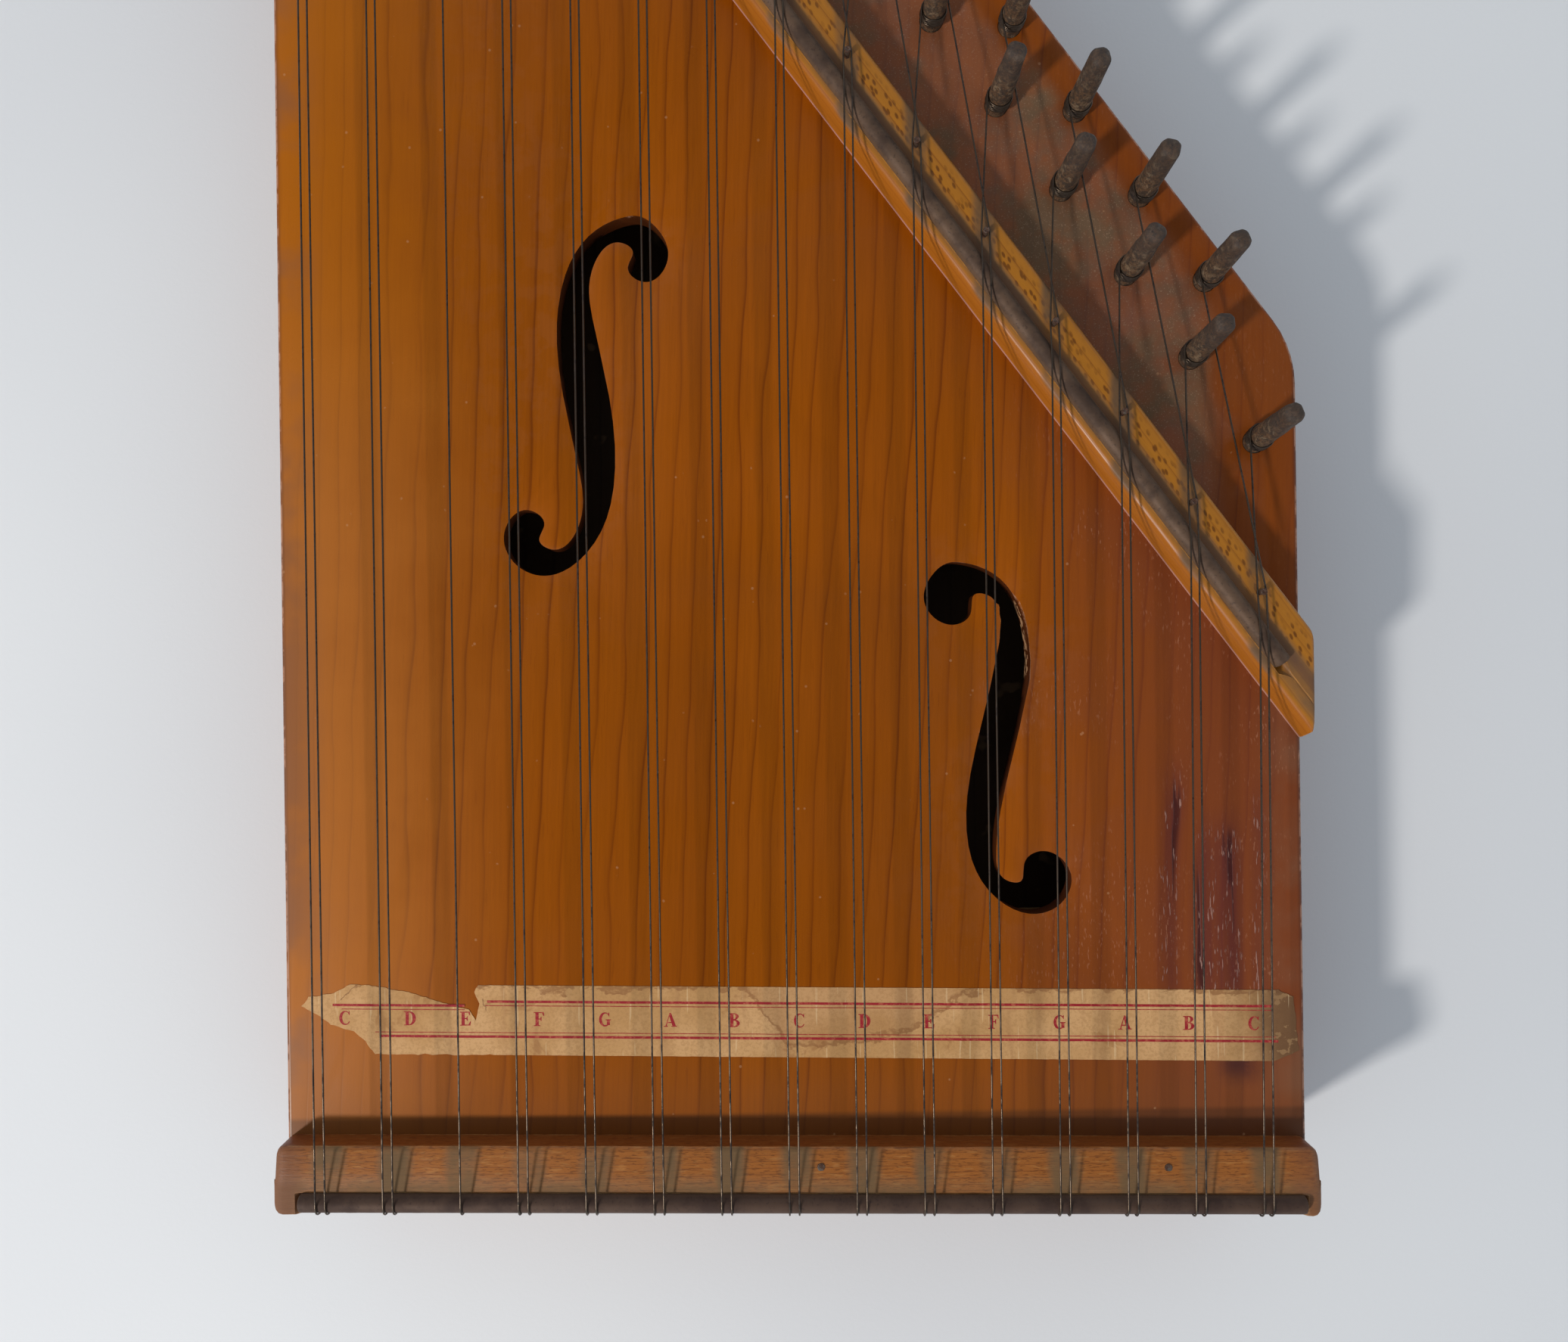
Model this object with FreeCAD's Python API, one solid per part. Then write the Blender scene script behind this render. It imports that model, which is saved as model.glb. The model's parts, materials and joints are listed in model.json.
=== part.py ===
"""Chorded zither with fifteen pairs of steel strings.

A shallow wooden box with one slanted end. The strings are hitched to nails in the tail's end face, run
over a steel rod on the tail rail and a second rod on the slanted bridge, and wind on two rows of tuning
pins. Each pin turns in a leaning bore of the pin block.

Millimetres. +X is to the right, +Y runs from the tail to the pins and +Z is up from the back plate.
The construction frame below has y = 0 at the middle of the tail's end face. Before export everything is
moved so that the origin is at the bottom centre of the whole instrument's box.
"""
import FreeCAD
import Part
import math
import os

V = FreeCAD.Vector

# Body
BODY_W = 227.0
BODY_L = 479.0
BACK_T = 3.0
FRAME_H = 24.0
DECK_T = 5.0
SIDE_T = 8.0
TAIL_BLOCK_D = 22.0
PIN_BLOCK_W = 46.0
TAIL_SKEW = math.radians(0.85)
SLANT = math.radians(36.77)
SHOULDER_Y = 187.6
SHOULDER_R = 24.0
CORNER_R = 5.0
TAIL_CORNER_R = 1.5
EDGE_R = 0.9

# Braces glued under the soundboard: y at the left side, y gained per mm to the right
BRACES = [(56.0, 0.0), (105.0, 0.333), (262.0, 0.0)]
BRACE_W = 8.0
BRACE_H = 12.0

# Sound holes: centre, tilt, mirrored, and half of the outline, which a half turn repeats
LEFT_HOLE = [
    (9.5, 40.1), (-1.7, 33.0), (-6.3, 19.0), (-5.7, 3.5), (-1.6, -16.5), (-1.7, -29.1),
    (-7.5, -34.2), (-10.4, -32.2), (-9.3, -28.6), (-13.1, -25.4), (-18.2, -30.4), (-15.6, -37.6),
]
RIGHT_HOLE = [
    (9.0, 39.2), (-2.8, 33.0), (-7.0, 19.2), (-4.6, 1.0), (-0.8, -15.5), (0.3, -25.5),
    (-1.8, -31.6), (-5.2, -31.9), (-6.0, -27.8), (-10.2, -25.2), (-16.4, -30.6), (-14.2, -36.8),
]
SOUND_HOLES = [
    (V(-44.8, 178.9, 0), math.radians(-0.75), False, LEFT_HOLE),
    (V(45.9, 101.5, 0), math.radians(-0.75), True, RIGHT_HOLE),
]

# Slanted bridge: distances from the slanted end's edge, measured square to it
BRIDGE_OUTER = 38.1
BRIDGE_INNER = 52.4
BRIDGE_H = 7.0
BRIDGE_EDGE = 0.6
BRIDGE_ROD_IN = 47.7
BRIDGE_ROD_H = 7.2
BRIDGE_ROD_LEFT_X = -108.0
BRIDGE_ROD_RIGHT_X = 106.4
ROD_R = 2.0

# Tail rail: depths from the tail's end face
RAIL_D = 13.6
RAIL_FRONT_H = 6.5
RAIL_REAR_H = 8.0
RAIL_LIP_H = 6.4
TAIL_ROD_IN = 2.0
TAIL_ROD_H = 7.7
TAIL_ROD_LEFT_X = -107.6
TAIL_ROD_RIGHT_X = 109.6
BRAD_X = [5.0, 80.2]
BRAD_IN = 9.5
BRAD_R = 0.9
BRAD_L = 6.2

# Strings
COURSES = 15
SINGLE_COURSE = 3
TAIL_MID_X = -0.75
TAIL_PITCH = 14.51
TAIL_PAIR = 2.1
BRIDGE_MID_X = -0.75
BRIDGE_PITCH = 14.62
WIRE_R = 0.2
WIRE_GAP = 0.02
SLOPE_GAP = 0.1
COIL_GAP = 0.05
COIL_WALL = 0.46
COIL_LENGTH = 1.6
COIL_H = 3.8

# Guide nails in the bridge, one for each course
GUIDE_IN = 42.4
GUIDE_R = 0.65
GUIDE_BOTTOM_H = 0.6
GUIDE_TOP_H = 9.9

# Hitch pins in the tail's end face: two heights, so that neighbours clear each other
HITCH_R = 0.8
HITCH_HEAD_R = 1.25
HITCH_HEAD_T = 0.5
HITCH_OUT = 1.6
HITCH_DEPTH = 12.0
HITCH_Z = [20.0, 14.5]

# Tuning pins
PIN_R = 2.5
PIN_SQUARE = 4.4
PIN_SQUARE_FROM = 11.4
PIN_OUT = 19.4
PIN_IN = 22.3
PIN_CROWN = 0.7
PIN_LEAN = math.radians(8.0)
PIN_LEAN_TOWARDS = math.radians(68.0)

# Rows of pins: distance inside the slanted edge, the last course's place along that edge from the
# shoulder's corner, the step to the next course, and the growth of the step
INNER_ROW = (20.1, -10.9, 23.44, 0.04)
OUTER_ROW = (7.0, 24.3, 23.8, 0.0)
BORE_GAP = 0.05
BORE_BOTTOM = 0.4
DECK_HOLE_GAP = 0.15

# Printed scale label, glued on the soundboard: torn at its left end
LABEL_T = 0.15
LABEL = [
    (-93.7, 32.9), (106.6, 28.7), (112.0, 31.0), (111.0, 43.0), (107.7, 44.5), (-70.5, 47.9),
    (-71.4, 46.4), (-70.4, 43.8), (-71.2, 40.0), (-72.7, 42.6), (-78.5, 44.0), (-85.3, 46.3),
    (-90.5, 47.4), (-95.7, 48.3), (-99.1, 48.5), (-102.6, 46.6), (-108.2, 45.7), (-110.0, 43.8),
    (-106.5, 41.8), (-103.5, 39.6), (-98.3, 38.0), (-95.8, 35.8),
]

# Worked out
HALF_W = BODY_W / 2
FRAME_TOP = BACK_T + FRAME_H
DECK_Z = FRAME_TOP + DECK_T
HIGH = 200.0
ALONG = V(-math.sin(SLANT), math.cos(SLANT), 0)
INWARD = V(-math.cos(SLANT), -math.sin(SLANT), 0)
SHOULDER = V(HALF_W, SHOULDER_Y, 0)
TAIL_ALONG = V(math.cos(TAIL_SKEW), -math.sin(TAIL_SKEW), 0)
TAIL_INWARD = V(math.sin(TAIL_SKEW), math.cos(TAIL_SKEW), 0)
PIN_AXIS = V(
    math.sin(PIN_LEAN) * math.cos(PIN_LEAN_TOWARDS),
    math.sin(PIN_LEAN) * math.sin(PIN_LEAN_TOWARDS),
    math.cos(PIN_LEAN),
)


# ---------------------------------------------------------------- places

def slant_point(inset, along, z=0.0):
    """A point at a distance inside the slanted edge and along it, up and to the left."""
    return SHOULDER + INWARD * inset + ALONG * along + V(0, 0, z)


def slant_along(inset, x):
    """How far along the slanted edge a line at this inset crosses x."""
    return (x - (SHOULDER + INWARD * inset).x) / ALONG.x


def slant_at_x(inset, x, z=0.0):
    return slant_point(inset, slant_along(inset, x), z)


def tail_point(x, inset, z=0.0):
    """A point at x on the tail's end face, moved in from that face."""
    return V(x, -x * math.tan(TAIL_SKEW), z) + TAIL_INWARD * inset


def tail_x(course):
    return TAIL_MID_X + TAIL_PITCH * (course - (COURSES + 1) / 2)


def bridge_x(course):
    return BRIDGE_MID_X + BRIDGE_PITCH * (course - (COURSES + 1) / 2)


def pin_foot(row, course):
    """Where a tuning pin's axis meets the top of the soundboard."""
    inset, start, step, growth = row
    count = COURSES - course
    return slant_point(inset, start + step * count + growth * count ** 2, DECK_Z)


def all_pins():
    """Every tuning pin as (node name, point on its axis at the soundboard's top)."""
    rows = (("inner", INNER_ROW), ("outer", OUTER_ROW))
    return [
        ("tuning_pin_%02d_%s" % (course, side), pin_foot(row, course))
        for course in range(1, COURSES + 1)
        for side, row in rows
    ]


# ---------------------------------------------------------------- shapes

def rounded_wire(points, radii, closed=False):
    """Straight runs joined by arcs that are tangent to both, through the corners given."""
    count = len(points)
    corners = range(count) if closed else range(1, count - 1)
    trims = {}
    for i in corners:
        here, radius = points[i], radii[i]
        back = (points[i - 1] - here).normalize()
        ahead = (points[(i + 1) % count] - here).normalize()
        half = back.getAngle(ahead) / 2
        if radius <= 0 or abs(half - math.pi / 2) < 1e-6:
            trims[i] = (here, None, here)
            continue
        cut = radius / math.tan(half)
        middle = here + (back + ahead).normalize() * (radius / math.sin(half) - radius)
        trims[i] = (here + back * cut, middle, here + ahead * cut)
    edges = []
    for i in range(count if closed else count - 1):
        j = (i + 1) % count
        start = trims[i][2] if i in trims else points[i]
        end = trims[j][0] if j in trims else points[j]
        edges.append(Part.LineSegment(start, end).toShape())
        if j in trims and trims[j][1] is not None:
            edges.append(Part.Arc(trims[j][0], trims[j][1], trims[j][2]).toShape())
    return Part.Wire(edges)


def prism(wire, bottom, top):
    face = Part.Face(wire)
    face.translate(V(0, 0, bottom))
    return face.extrude(V(0, 0, top - bottom))


def body_outline():
    slant_end = slant_point(0, (BODY_L - SHOULDER_Y) / ALONG.y)
    corners = [
        tail_point(-HALF_W, 0), tail_point(HALF_W, 0), SHOULDER, slant_end, V(-HALF_W, BODY_L, 0),
    ]
    radii = [TAIL_CORNER_R, TAIL_CORNER_R, SHOULDER_R, CORNER_R, CORNER_R]
    return rounded_wire(corners, radii, closed=True)


def body_prism(bottom, top):
    return prism(body_outline(), bottom, top)


def strip_along_slant(profile):
    """Sweeps a (distance inside the slanted edge, height) profile along the whole slant."""
    start, end = -HIGH, BODY_L + HIGH
    points = [slant_point(inset, start, z) for inset, z in profile]
    face = Part.Face(Part.makePolygon(points + points[:1]))
    return face.extrude(ALONG * (end - start))


def strip_along_tail(profile):
    """Sweeps a (depth from the tail's face, height) profile along the whole tail."""
    start = tail_point(-HALF_W, 0) - TAIL_ALONG * SIDE_T
    points = [start + TAIL_INWARD * depth + V(0, 0, z) for depth, z in profile]
    face = Part.Face(Part.makePolygon(points + points[:1]))
    return face.extrude(TAIL_ALONG * (BODY_W + 2 * SIDE_T))


def rod(start, end, radius):
    return Part.makeCylinder(radius, (end - start).Length, start, end - start)


# ---------------------------------------------------------------- body

def pin_block_zone(bottom, top):
    """Everything between the slanted edge and the pin block's inner face."""
    far = -HIGH
    return strip_along_slant([(far, bottom), (PIN_BLOCK_W, bottom), (PIN_BLOCK_W, top), (far, top)])


def side_zone(left):
    x = -HALF_W if left else HALF_W - SIDE_T
    return Part.makeBox(SIDE_T, BODY_L + HIGH, FRAME_H, V(x, -HIGH / 2, BACK_T))


def tail_block_zone():
    depths = (-SIDE_T, TAIL_BLOCK_D)
    corners = [(depth, BACK_T) for depth in depths] + [(depth, FRAME_TOP) for depth in reversed(depths)]
    return strip_along_tail(corners)


def bore(foot, radius, depth):
    """A leaning drill hole that goes down from the soundboard's top."""
    length = depth / math.cos(PIN_LEAN)
    return Part.makeCylinder(radius, length + DECK_T, foot - PIN_AXIS * length, PIN_AXIS)


def pin_block():
    block = body_prism(BACK_T, FRAME_TOP).common(pin_block_zone(BACK_T, FRAME_TOP))
    for _name, foot in all_pins():
        block = block.cut(bore(foot, PIN_R + BORE_GAP, PIN_IN + BORE_BOTTOM))
    return block


def side(left):
    frame = body_prism(BACK_T, FRAME_TOP).cut(pin_block_zone(BACK_T, FRAME_TOP))
    return frame.common(side_zone(left))


def tail_block():
    block = body_prism(BACK_T, FRAME_TOP).common(tail_block_zone())
    block = block.cut(side_zone(True)).cut(side_zone(False))
    for _course, _hand, x, z in hitch_places():
        block = block.cut(rod(tail_point(x, -1.0, z), tail_point(x, HITCH_DEPTH, z), HITCH_R))
    return block


def cavity():
    """The hollow that the sides, tail block and pin block leave."""
    inside = body_prism(BACK_T, FRAME_TOP).cut(pin_block_zone(BACK_T, FRAME_TOP))
    return inside.cut(side_zone(True)).cut(side_zone(False)).cut(tail_block_zone())


def braces():
    room = cavity()
    solids = []
    for y_left, rise in BRACES:
        lower = [V(x, y_left + rise * (x + HALF_W) - BRACE_W / 2, 0) for x in (-HALF_W, HALF_W)]
        corners = lower + [point + V(0, BRACE_W, 0) for point in reversed(lower)]
        bar = prism(Part.makePolygon(corners + corners[:1]), FRAME_TOP - BRACE_H, FRAME_TOP)
        solids += bar.common(room).Solids
    return Part.makeCompound(solids)


def sound_hole(centre, tilt, mirrored, half):
    """An f-shaped hole's closed outline: half of it, and the same half turned about the centre."""
    points = []
    for turn in (0.0, math.pi):
        for x, y in half:
            local = V(-x if mirrored else x, y, 0)
            c, s = math.cos(tilt + turn), math.sin(tilt + turn)
            points.append(centre + V(c * local.x - s * local.y, s * local.x + c * local.y, 0))
    curve = Part.BSplineCurve()
    curve.interpolate(Points=points, PeriodicFlag=True)
    return prism(Part.Wire(curve.toShape()), FRAME_TOP - 1.0, DECK_Z + 1.0)


def soundboard():
    board = body_prism(FRAME_TOP, DECK_Z)
    rim = [e for e in board.Edges if min(v.Z for v in e.Vertexes) > DECK_Z - 1e-4]
    board = board.makeFillet(EDGE_R, rim)
    for hole in SOUND_HOLES:
        board = board.cut(sound_hole(*hole))
    for _name, foot in all_pins():
        board = board.cut(bore(foot, PIN_R + DECK_HOLE_GAP, DECK_T + 1.0))
    return board


def back_plate():
    plate = body_prism(0.0, BACK_T)
    rim = [e for e in plate.Edges if max(v.Z for v in e.Vertexes) < 1e-4]
    return plate.makeFillet(EDGE_R, rim)


# ---------------------------------------------------------------- bridge and tail

def bridge_rod():
    z = DECK_Z + BRIDGE_ROD_H
    ends = [slant_at_x(BRIDGE_ROD_IN, x, z) for x in (BRIDGE_ROD_LEFT_X, BRIDGE_ROD_RIGHT_X)]
    return rod(ends[0], ends[1], ROD_R)


def tail_rod():
    z = DECK_Z + TAIL_ROD_H
    ends = [tail_point(x, TAIL_ROD_IN, z) for x in (TAIL_ROD_LEFT_X, TAIL_ROD_RIGHT_X)]
    return rod(ends[0], ends[1], ROD_R)


def guide_nail(course):
    foot = slant_at_x(GUIDE_IN, bridge_x(course), DECK_Z + GUIDE_BOTTOM_H)
    return Part.makeCylinder(GUIDE_R, GUIDE_TOP_H - GUIDE_BOTTOM_H, foot)


def slanted_bridge():
    top, edge = DECK_Z + BRIDGE_H, BRIDGE_EDGE
    strip = strip_along_slant([
        (BRIDGE_OUTER, DECK_Z), (BRIDGE_INNER, DECK_Z), (BRIDGE_INNER, top - edge),
        (BRIDGE_INNER - edge, top), (BRIDGE_OUTER + edge, top), (BRIDGE_OUTER, top - edge),
    ])
    strip = strip.common(body_prism(DECK_Z, top))
    z = DECK_Z + BRIDGE_ROD_H
    ends = [slant_at_x(BRIDGE_ROD_IN, x, z) for x in (-HALF_W - SIDE_T, HALF_W + SIDE_T)]
    strip = strip.cut(rod(ends[0], ends[1], ROD_R))
    for course in range(1, COURSES + 1):
        strip = strip.cut(guide_nail(course))
    return strip


def rail_brad(x):
    foot = tail_point(x, BRAD_IN, DECK_Z + 1.0)
    return Part.makeCylinder(BRAD_R, BRAD_L, foot)


def tail_rail():
    z = DECK_Z
    strip = strip_along_tail([
        (0, z), (RAIL_D, z), (RAIL_D, z + RAIL_FRONT_H), (TAIL_ROD_IN + ROD_R / 2, z + RAIL_REAR_H),
        (TAIL_ROD_IN, z + RAIL_REAR_H), (TAIL_ROD_IN, z + RAIL_LIP_H), (0, z + RAIL_LIP_H),
    ])
    strip = strip.common(body_prism(z, z + RAIL_REAR_H))
    ends = [tail_point(x, TAIL_ROD_IN, z + TAIL_ROD_H) for x in (-HALF_W - SIDE_T, HALF_W + SIDE_T)]
    strip = strip.cut(rod(ends[0], ends[1], ROD_R))
    for x in BRAD_X:
        strip = strip.cut(rail_brad(x))
    return strip


def hitch_places():
    """Every hitch pin as (course, hand, x, z): hand is -1 for the left string and 1 for the right."""
    return [
        (course, hand, tail_x(course) + hand * TAIL_PAIR / 2, HITCH_Z[(hand + 1) // 2])
        for course in range(1, COURSES + 1)
        for hand in (-1, 1)
    ]


def hitch_pin(x, z):
    shank = rod(tail_point(x, HITCH_DEPTH, z), tail_point(x, -HITCH_OUT, z), HITCH_R)
    head = rod(tail_point(x, HITCH_HEAD_T - HITCH_OUT, z), tail_point(x, -HITCH_OUT, z), HITCH_HEAD_R)
    return shank.fuse(head).removeSplitter()


# ---------------------------------------------------------------- pins and strings

def tuning_pin(foot):
    """A round pin whose upper end is squared for the key and crowned."""
    bottom = foot - PIN_AXIS * PIN_IN
    shank = Part.makeCylinder(PIN_R, PIN_IN + PIN_SQUARE_FROM, bottom, PIN_AXIS)
    square_l = PIN_OUT - PIN_SQUARE_FROM
    square = Part.makeBox(PIN_SQUARE, PIN_SQUARE, square_l, V(-PIN_SQUARE / 2, -PIN_SQUARE / 2, 0))
    head = square.common(Part.makeCylinder(PIN_R, square_l))
    crown = Part.makeCone(PIN_R + square_l - PIN_CROWN, PIN_R - PIN_CROWN, square_l)
    head = head.common(crown)
    head.rotate(V(0, 0, 0), V(0, 0, 1), math.degrees(PIN_LEAN_TOWARDS))
    lean = FreeCAD.Placement(V(0, 0, 0), FreeCAD.Rotation(V(0, 0, 1), PIN_AXIS))
    head.Placement = lean.multiply(head.Placement)
    head.translate(foot + PIN_AXIS * PIN_SQUARE_FROM)
    return shank.fuse(head)


def wire_path(course, hand):
    """The corners that a string bends at, from its hitch pin to its tuning pin."""
    x_tail = tail_x(course) + hand * TAIL_PAIR / 2
    hitch_z = HITCH_Z[(hand + 1) // 2]
    off = WIRE_R + WIRE_GAP
    tail_top = DECK_Z + TAIL_ROD_H + ROD_R + off
    loop = tail_point(x_tail, -off, hitch_z)
    up = tail_point(x_tail, -off, tail_top)
    bridge_top = DECK_Z + BRIDGE_ROD_H + ROD_R + WIRE_R + SLOPE_GAP
    x_guide = bridge_x(course) + hand * (GUIDE_R + off)
    over = slant_at_x(BRIDGE_ROD_IN, x_guide, bridge_top)
    foot = pin_foot(INNER_ROW if hand < 0 else OUTER_ROW, course)
    centre = foot + PIN_AXIS * (COIL_H / PIN_AXIS.z)
    guide = V(x_guide, slant_at_x(GUIDE_IN, bridge_x(course)).y, 0)
    reach = PIN_R + COIL_GAP + COIL_WALL / 2
    flat = V(centre.x - guide.x, centre.y - guide.y, 0)
    turn = math.atan2(flat.y, flat.x) + math.asin(reach / flat.Length)
    run = math.sqrt(flat.Length ** 2 - reach ** 2)
    end = V(guide.x + run * math.cos(turn), guide.y + run * math.sin(turn), centre.z)
    before = (V(guide.x, guide.y, 0) - V(over.x, over.y, 0)).Length
    guide.z = over.z + (end.z - over.z) * before / (before + run)
    return loop, up, over, guide, end, centre


def string(course, hand):
    """One wire: a loop round its hitch pin, the run, and a sleeve the size of its coil on the tuning pin."""
    loop, up, over, guide, end, centre = wire_path(course, hand)
    ring_r = HITCH_R + WIRE_GAP + WIRE_R
    start = loop + V(0, 0, ring_r)
    bend = ROD_R + WIRE_R + WIRE_GAP
    path = rounded_wire([start, up, over, guide, end], [0, bend, bend, GUIDE_R + WIRE_R, 0])
    profile = Part.Wire(Part.makeCircle(WIRE_R, start, V(0, 0, 1)))
    run = path.makePipeShell([profile], True, False)
    ring = Part.makeTorus(ring_r, WIRE_R, loop, TAIL_INWARD)
    inner = PIN_R + COIL_GAP
    foot = centre - PIN_AXIS * (COIL_LENGTH / 2)
    sleeve = Part.makeCylinder(inner + COIL_WALL, COIL_LENGTH, foot, PIN_AXIS)
    sleeve = sleeve.cut(Part.makeCylinder(inner, COIL_LENGTH, foot, PIN_AXIS))
    return run.fuse([ring, sleeve])


def course_strings(course):
    hands = (1,) if course == SINGLE_COURSE else (-1, 1)
    return Part.makeCompound([solid for hand in hands for solid in string(course, hand).Solids])


def scale_label():
    corners = [V(x, y, 0) for x, y in LABEL]
    return prism(Part.makePolygon(corners + corners[:1]), DECK_Z, DECK_Z + LABEL_T)


# ---------------------------------------------------------------- assembly

def build():
    courses = range(1, COURSES + 1)
    nodes = {
        "soundboard": soundboard(),
        "back_plate": back_plate(),
        "left_side": side(True),
        "right_side": side(False),
        "tail_block": tail_block(),
        "pin_block": pin_block(),
        "soundboard_braces": braces(),
        "slanted_bridge": slanted_bridge(),
        "bridge_rod": bridge_rod(),
        "guide_nails": Part.makeCompound([guide_nail(course) for course in courses]),
        "tail_rail": tail_rail(),
        "tail_rod": tail_rod(),
        "rail_brads": Part.makeCompound([rail_brad(x) for x in BRAD_X]),
        "hitch_pins": Part.makeCompound([hitch_pin(x, z) for _course, _hand, x, z in hitch_places()]),
        "scale_label": scale_label(),
    }
    for course in courses:
        nodes["strings_course_%02d" % course] = course_strings(course)
    for name, foot in all_pins():
        nodes[name] = tuning_pin(foot)
    return nodes


def to_origin(nodes):
    """Moves every node so that the origin is at the bottom centre of the whole box, and returns the move."""
    box = FreeCAD.BoundBox()
    for shape in nodes.values():
        box.add(shape.optimalBoundingBox(False))
    move = V(-box.Center.x, -box.Center.y, -box.ZMin)
    for shape in nodes.values():
        shape.translate(move)
    print("whole box %.2f x %.2f x %.2f mm" % (box.XLength, box.YLength, box.ZLength))
    return move


NODES = build()
MOVE = to_origin(NODES)
os.makedirs("parts", exist_ok=True)
for NODE, SHAPE in NODES.items():
    if not SHAPE.isValid():
        print("not valid:", NODE)
    SHAPE.exportStep("parts/%s.step" % NODE)
print("%d nodes written, moved by (%.3f, %.3f, %.3f)" % (len(NODES), MOVE.x, MOVE.y, MOVE.z))
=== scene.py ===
import json
import random
from math import asin, atan2, ceil, cos, degrees, hypot, pi, radians, sin, sqrt, tan, tau

import bmesh
import bpy
from mathutils import Matrix, Vector, geometry, noise


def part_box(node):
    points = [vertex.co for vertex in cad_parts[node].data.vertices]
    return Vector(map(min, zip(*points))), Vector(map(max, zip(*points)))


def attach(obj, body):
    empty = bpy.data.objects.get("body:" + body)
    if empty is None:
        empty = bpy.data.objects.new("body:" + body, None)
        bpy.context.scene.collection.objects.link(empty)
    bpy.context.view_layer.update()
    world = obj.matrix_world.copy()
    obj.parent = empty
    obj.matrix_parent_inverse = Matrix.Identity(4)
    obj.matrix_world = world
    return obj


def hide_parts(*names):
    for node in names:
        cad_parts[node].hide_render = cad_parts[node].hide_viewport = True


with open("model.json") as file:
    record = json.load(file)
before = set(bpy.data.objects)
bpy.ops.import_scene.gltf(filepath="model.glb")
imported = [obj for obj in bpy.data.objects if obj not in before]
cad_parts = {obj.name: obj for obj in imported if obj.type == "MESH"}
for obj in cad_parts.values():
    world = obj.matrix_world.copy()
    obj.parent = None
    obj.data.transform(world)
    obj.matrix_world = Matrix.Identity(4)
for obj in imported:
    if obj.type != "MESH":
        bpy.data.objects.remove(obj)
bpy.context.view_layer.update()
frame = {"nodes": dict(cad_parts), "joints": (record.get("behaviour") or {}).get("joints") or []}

MM = 0.001
BODY = "body"
COURSES = 15
SINGLE_COURSE = 3
QUARTER = radians(90)

# Camera: square above the soundboard, turned a little about its own axis
CAMERA_PLACE = Vector((-1.5, -120.9, 282)) * MM
CAMERA_TURN = radians(-0.75)
CAMERA_LENS = 25.76

# Light: a soft disk at the lower left, and a sky that is darkest at the zenith
KEY_FROM = Vector((-0.624, -0.496, 0.6))
KEY_AIM = Vector((0, -0.1, 0.03))
KEY_FAR = 1.5
KEY_SIZE = 0.15
KEY_ENERGY = 15.5
KEY_COLOUR = (1, 0.95, 0.88)
SKY_COLOUR = Vector((0.86, 0.93, 1))
# The sky fades between two heights, from one strength to another
SKY_FADE = {1: 0.55, 2: 0.95, 3: 0.86, 4: 0.12}

# Wire
WIRE_R = 0.2 * MM
TOUCH = 0.02 * MM
COIL_GAP = 0.05 * MM
COIL_H = 3.8 * MM
COIL_TURNS = 5.1
COIL_STEP = 0.43 * MM
LOOP_OUT = 0.65 * MM
TWIST_FROM = 3.2 * MM
TWIST_STEP = 1.3 * MM
TWIST_TURNS = 4
TWIST_R = 0.42 * MM

# Tuning pins: lengths out of and into the wood, where the square starts, and radii
PIN_OUT = 19.1 * MM
PIN_DEEP = 22.3 * MM
PIN_SQUARE = 11.4 * MM
PIN_R = 2.5 * MM
PIN_FLAT_R = 2.26 * MM
PIN_DOME = 1.6 * MM

# Slanted bridge: distances inside the slanted edge and heights above the soundboard
BRIDGE_OUTER = 38.1 * MM
BRIDGE_INNER = 52.4 * MM
BRIDGE_H = 7 * MM
GROOVE_IN = 47.7 * MM
GROOVE_H = 7.2 * MM
ROD_R = 2 * MM

# Tail rail: depths from the tail's end face and heights above the soundboard
RAIL_D = 13.6 * MM
RAIL_FRONT_H = 6.5 * MM
RAIL_REAR_H = 8 * MM
TAIL_ROD_IN = 2 * MM
TAIL_ROD_H = 7.7 * MM

# Stains on the soundboard: middle, half width and upper end
STAINS = ((0.0873, 0.0018, -0.146), (0.0985, 0.005, -0.157), (0.1075, 0.0012, -0.15))
# The right sound hole's splintered rim: its lowest and highest x and y
CHIPPED_RIM = ((46 * MM, -123 * MM), (54 * MM, -106 * MM))

# Printed scale, and the two short tears in its paper: x, lower y, upper y and lean
LABEL_SLOPE = -0.019
LETTERS = "CDEFGABCDEFGABC"
LETTER_H = 3.1 * MM
TORN_LETTER = 3
INK_T = 0.02 * MM
TORN_LEFT = -0.068
TORN_RIGHT = 0.107
TEARS = ((-0.0697, -0.1958, -0.193, -0.35), (-0.0975, -0.193, -0.1895, 1.1))


# ---- the frame

def welded(node):
    """A CAD node's mesh with the seams between its faces merged."""
    solid = bmesh.new()
    solid.from_mesh(frame["nodes"][node].data)
    bmesh.ops.remove_doubles(solid, verts=solid.verts, dist=1e-6)
    return solid


def middle(points):
    return sum(points, Vector()) / len(points)


def solids(node):
    """The points of each separate solid in a CAD node, from left to right."""
    mesh = welded(node)
    found = []
    for first in mesh.verts:
        reached = [] if first.tag else [first]
        first.tag = True
        for vert in reached:
            for near in (edge.other_vert(vert) for edge in vert.link_edges):
                if not near.tag:
                    near.tag = True
                    reached.append(near)
        if reached:
            found.append([vert.co.copy() for vert in reached])
    mesh.free()
    return sorted(found, key=lambda island: middle(island).x)


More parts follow.
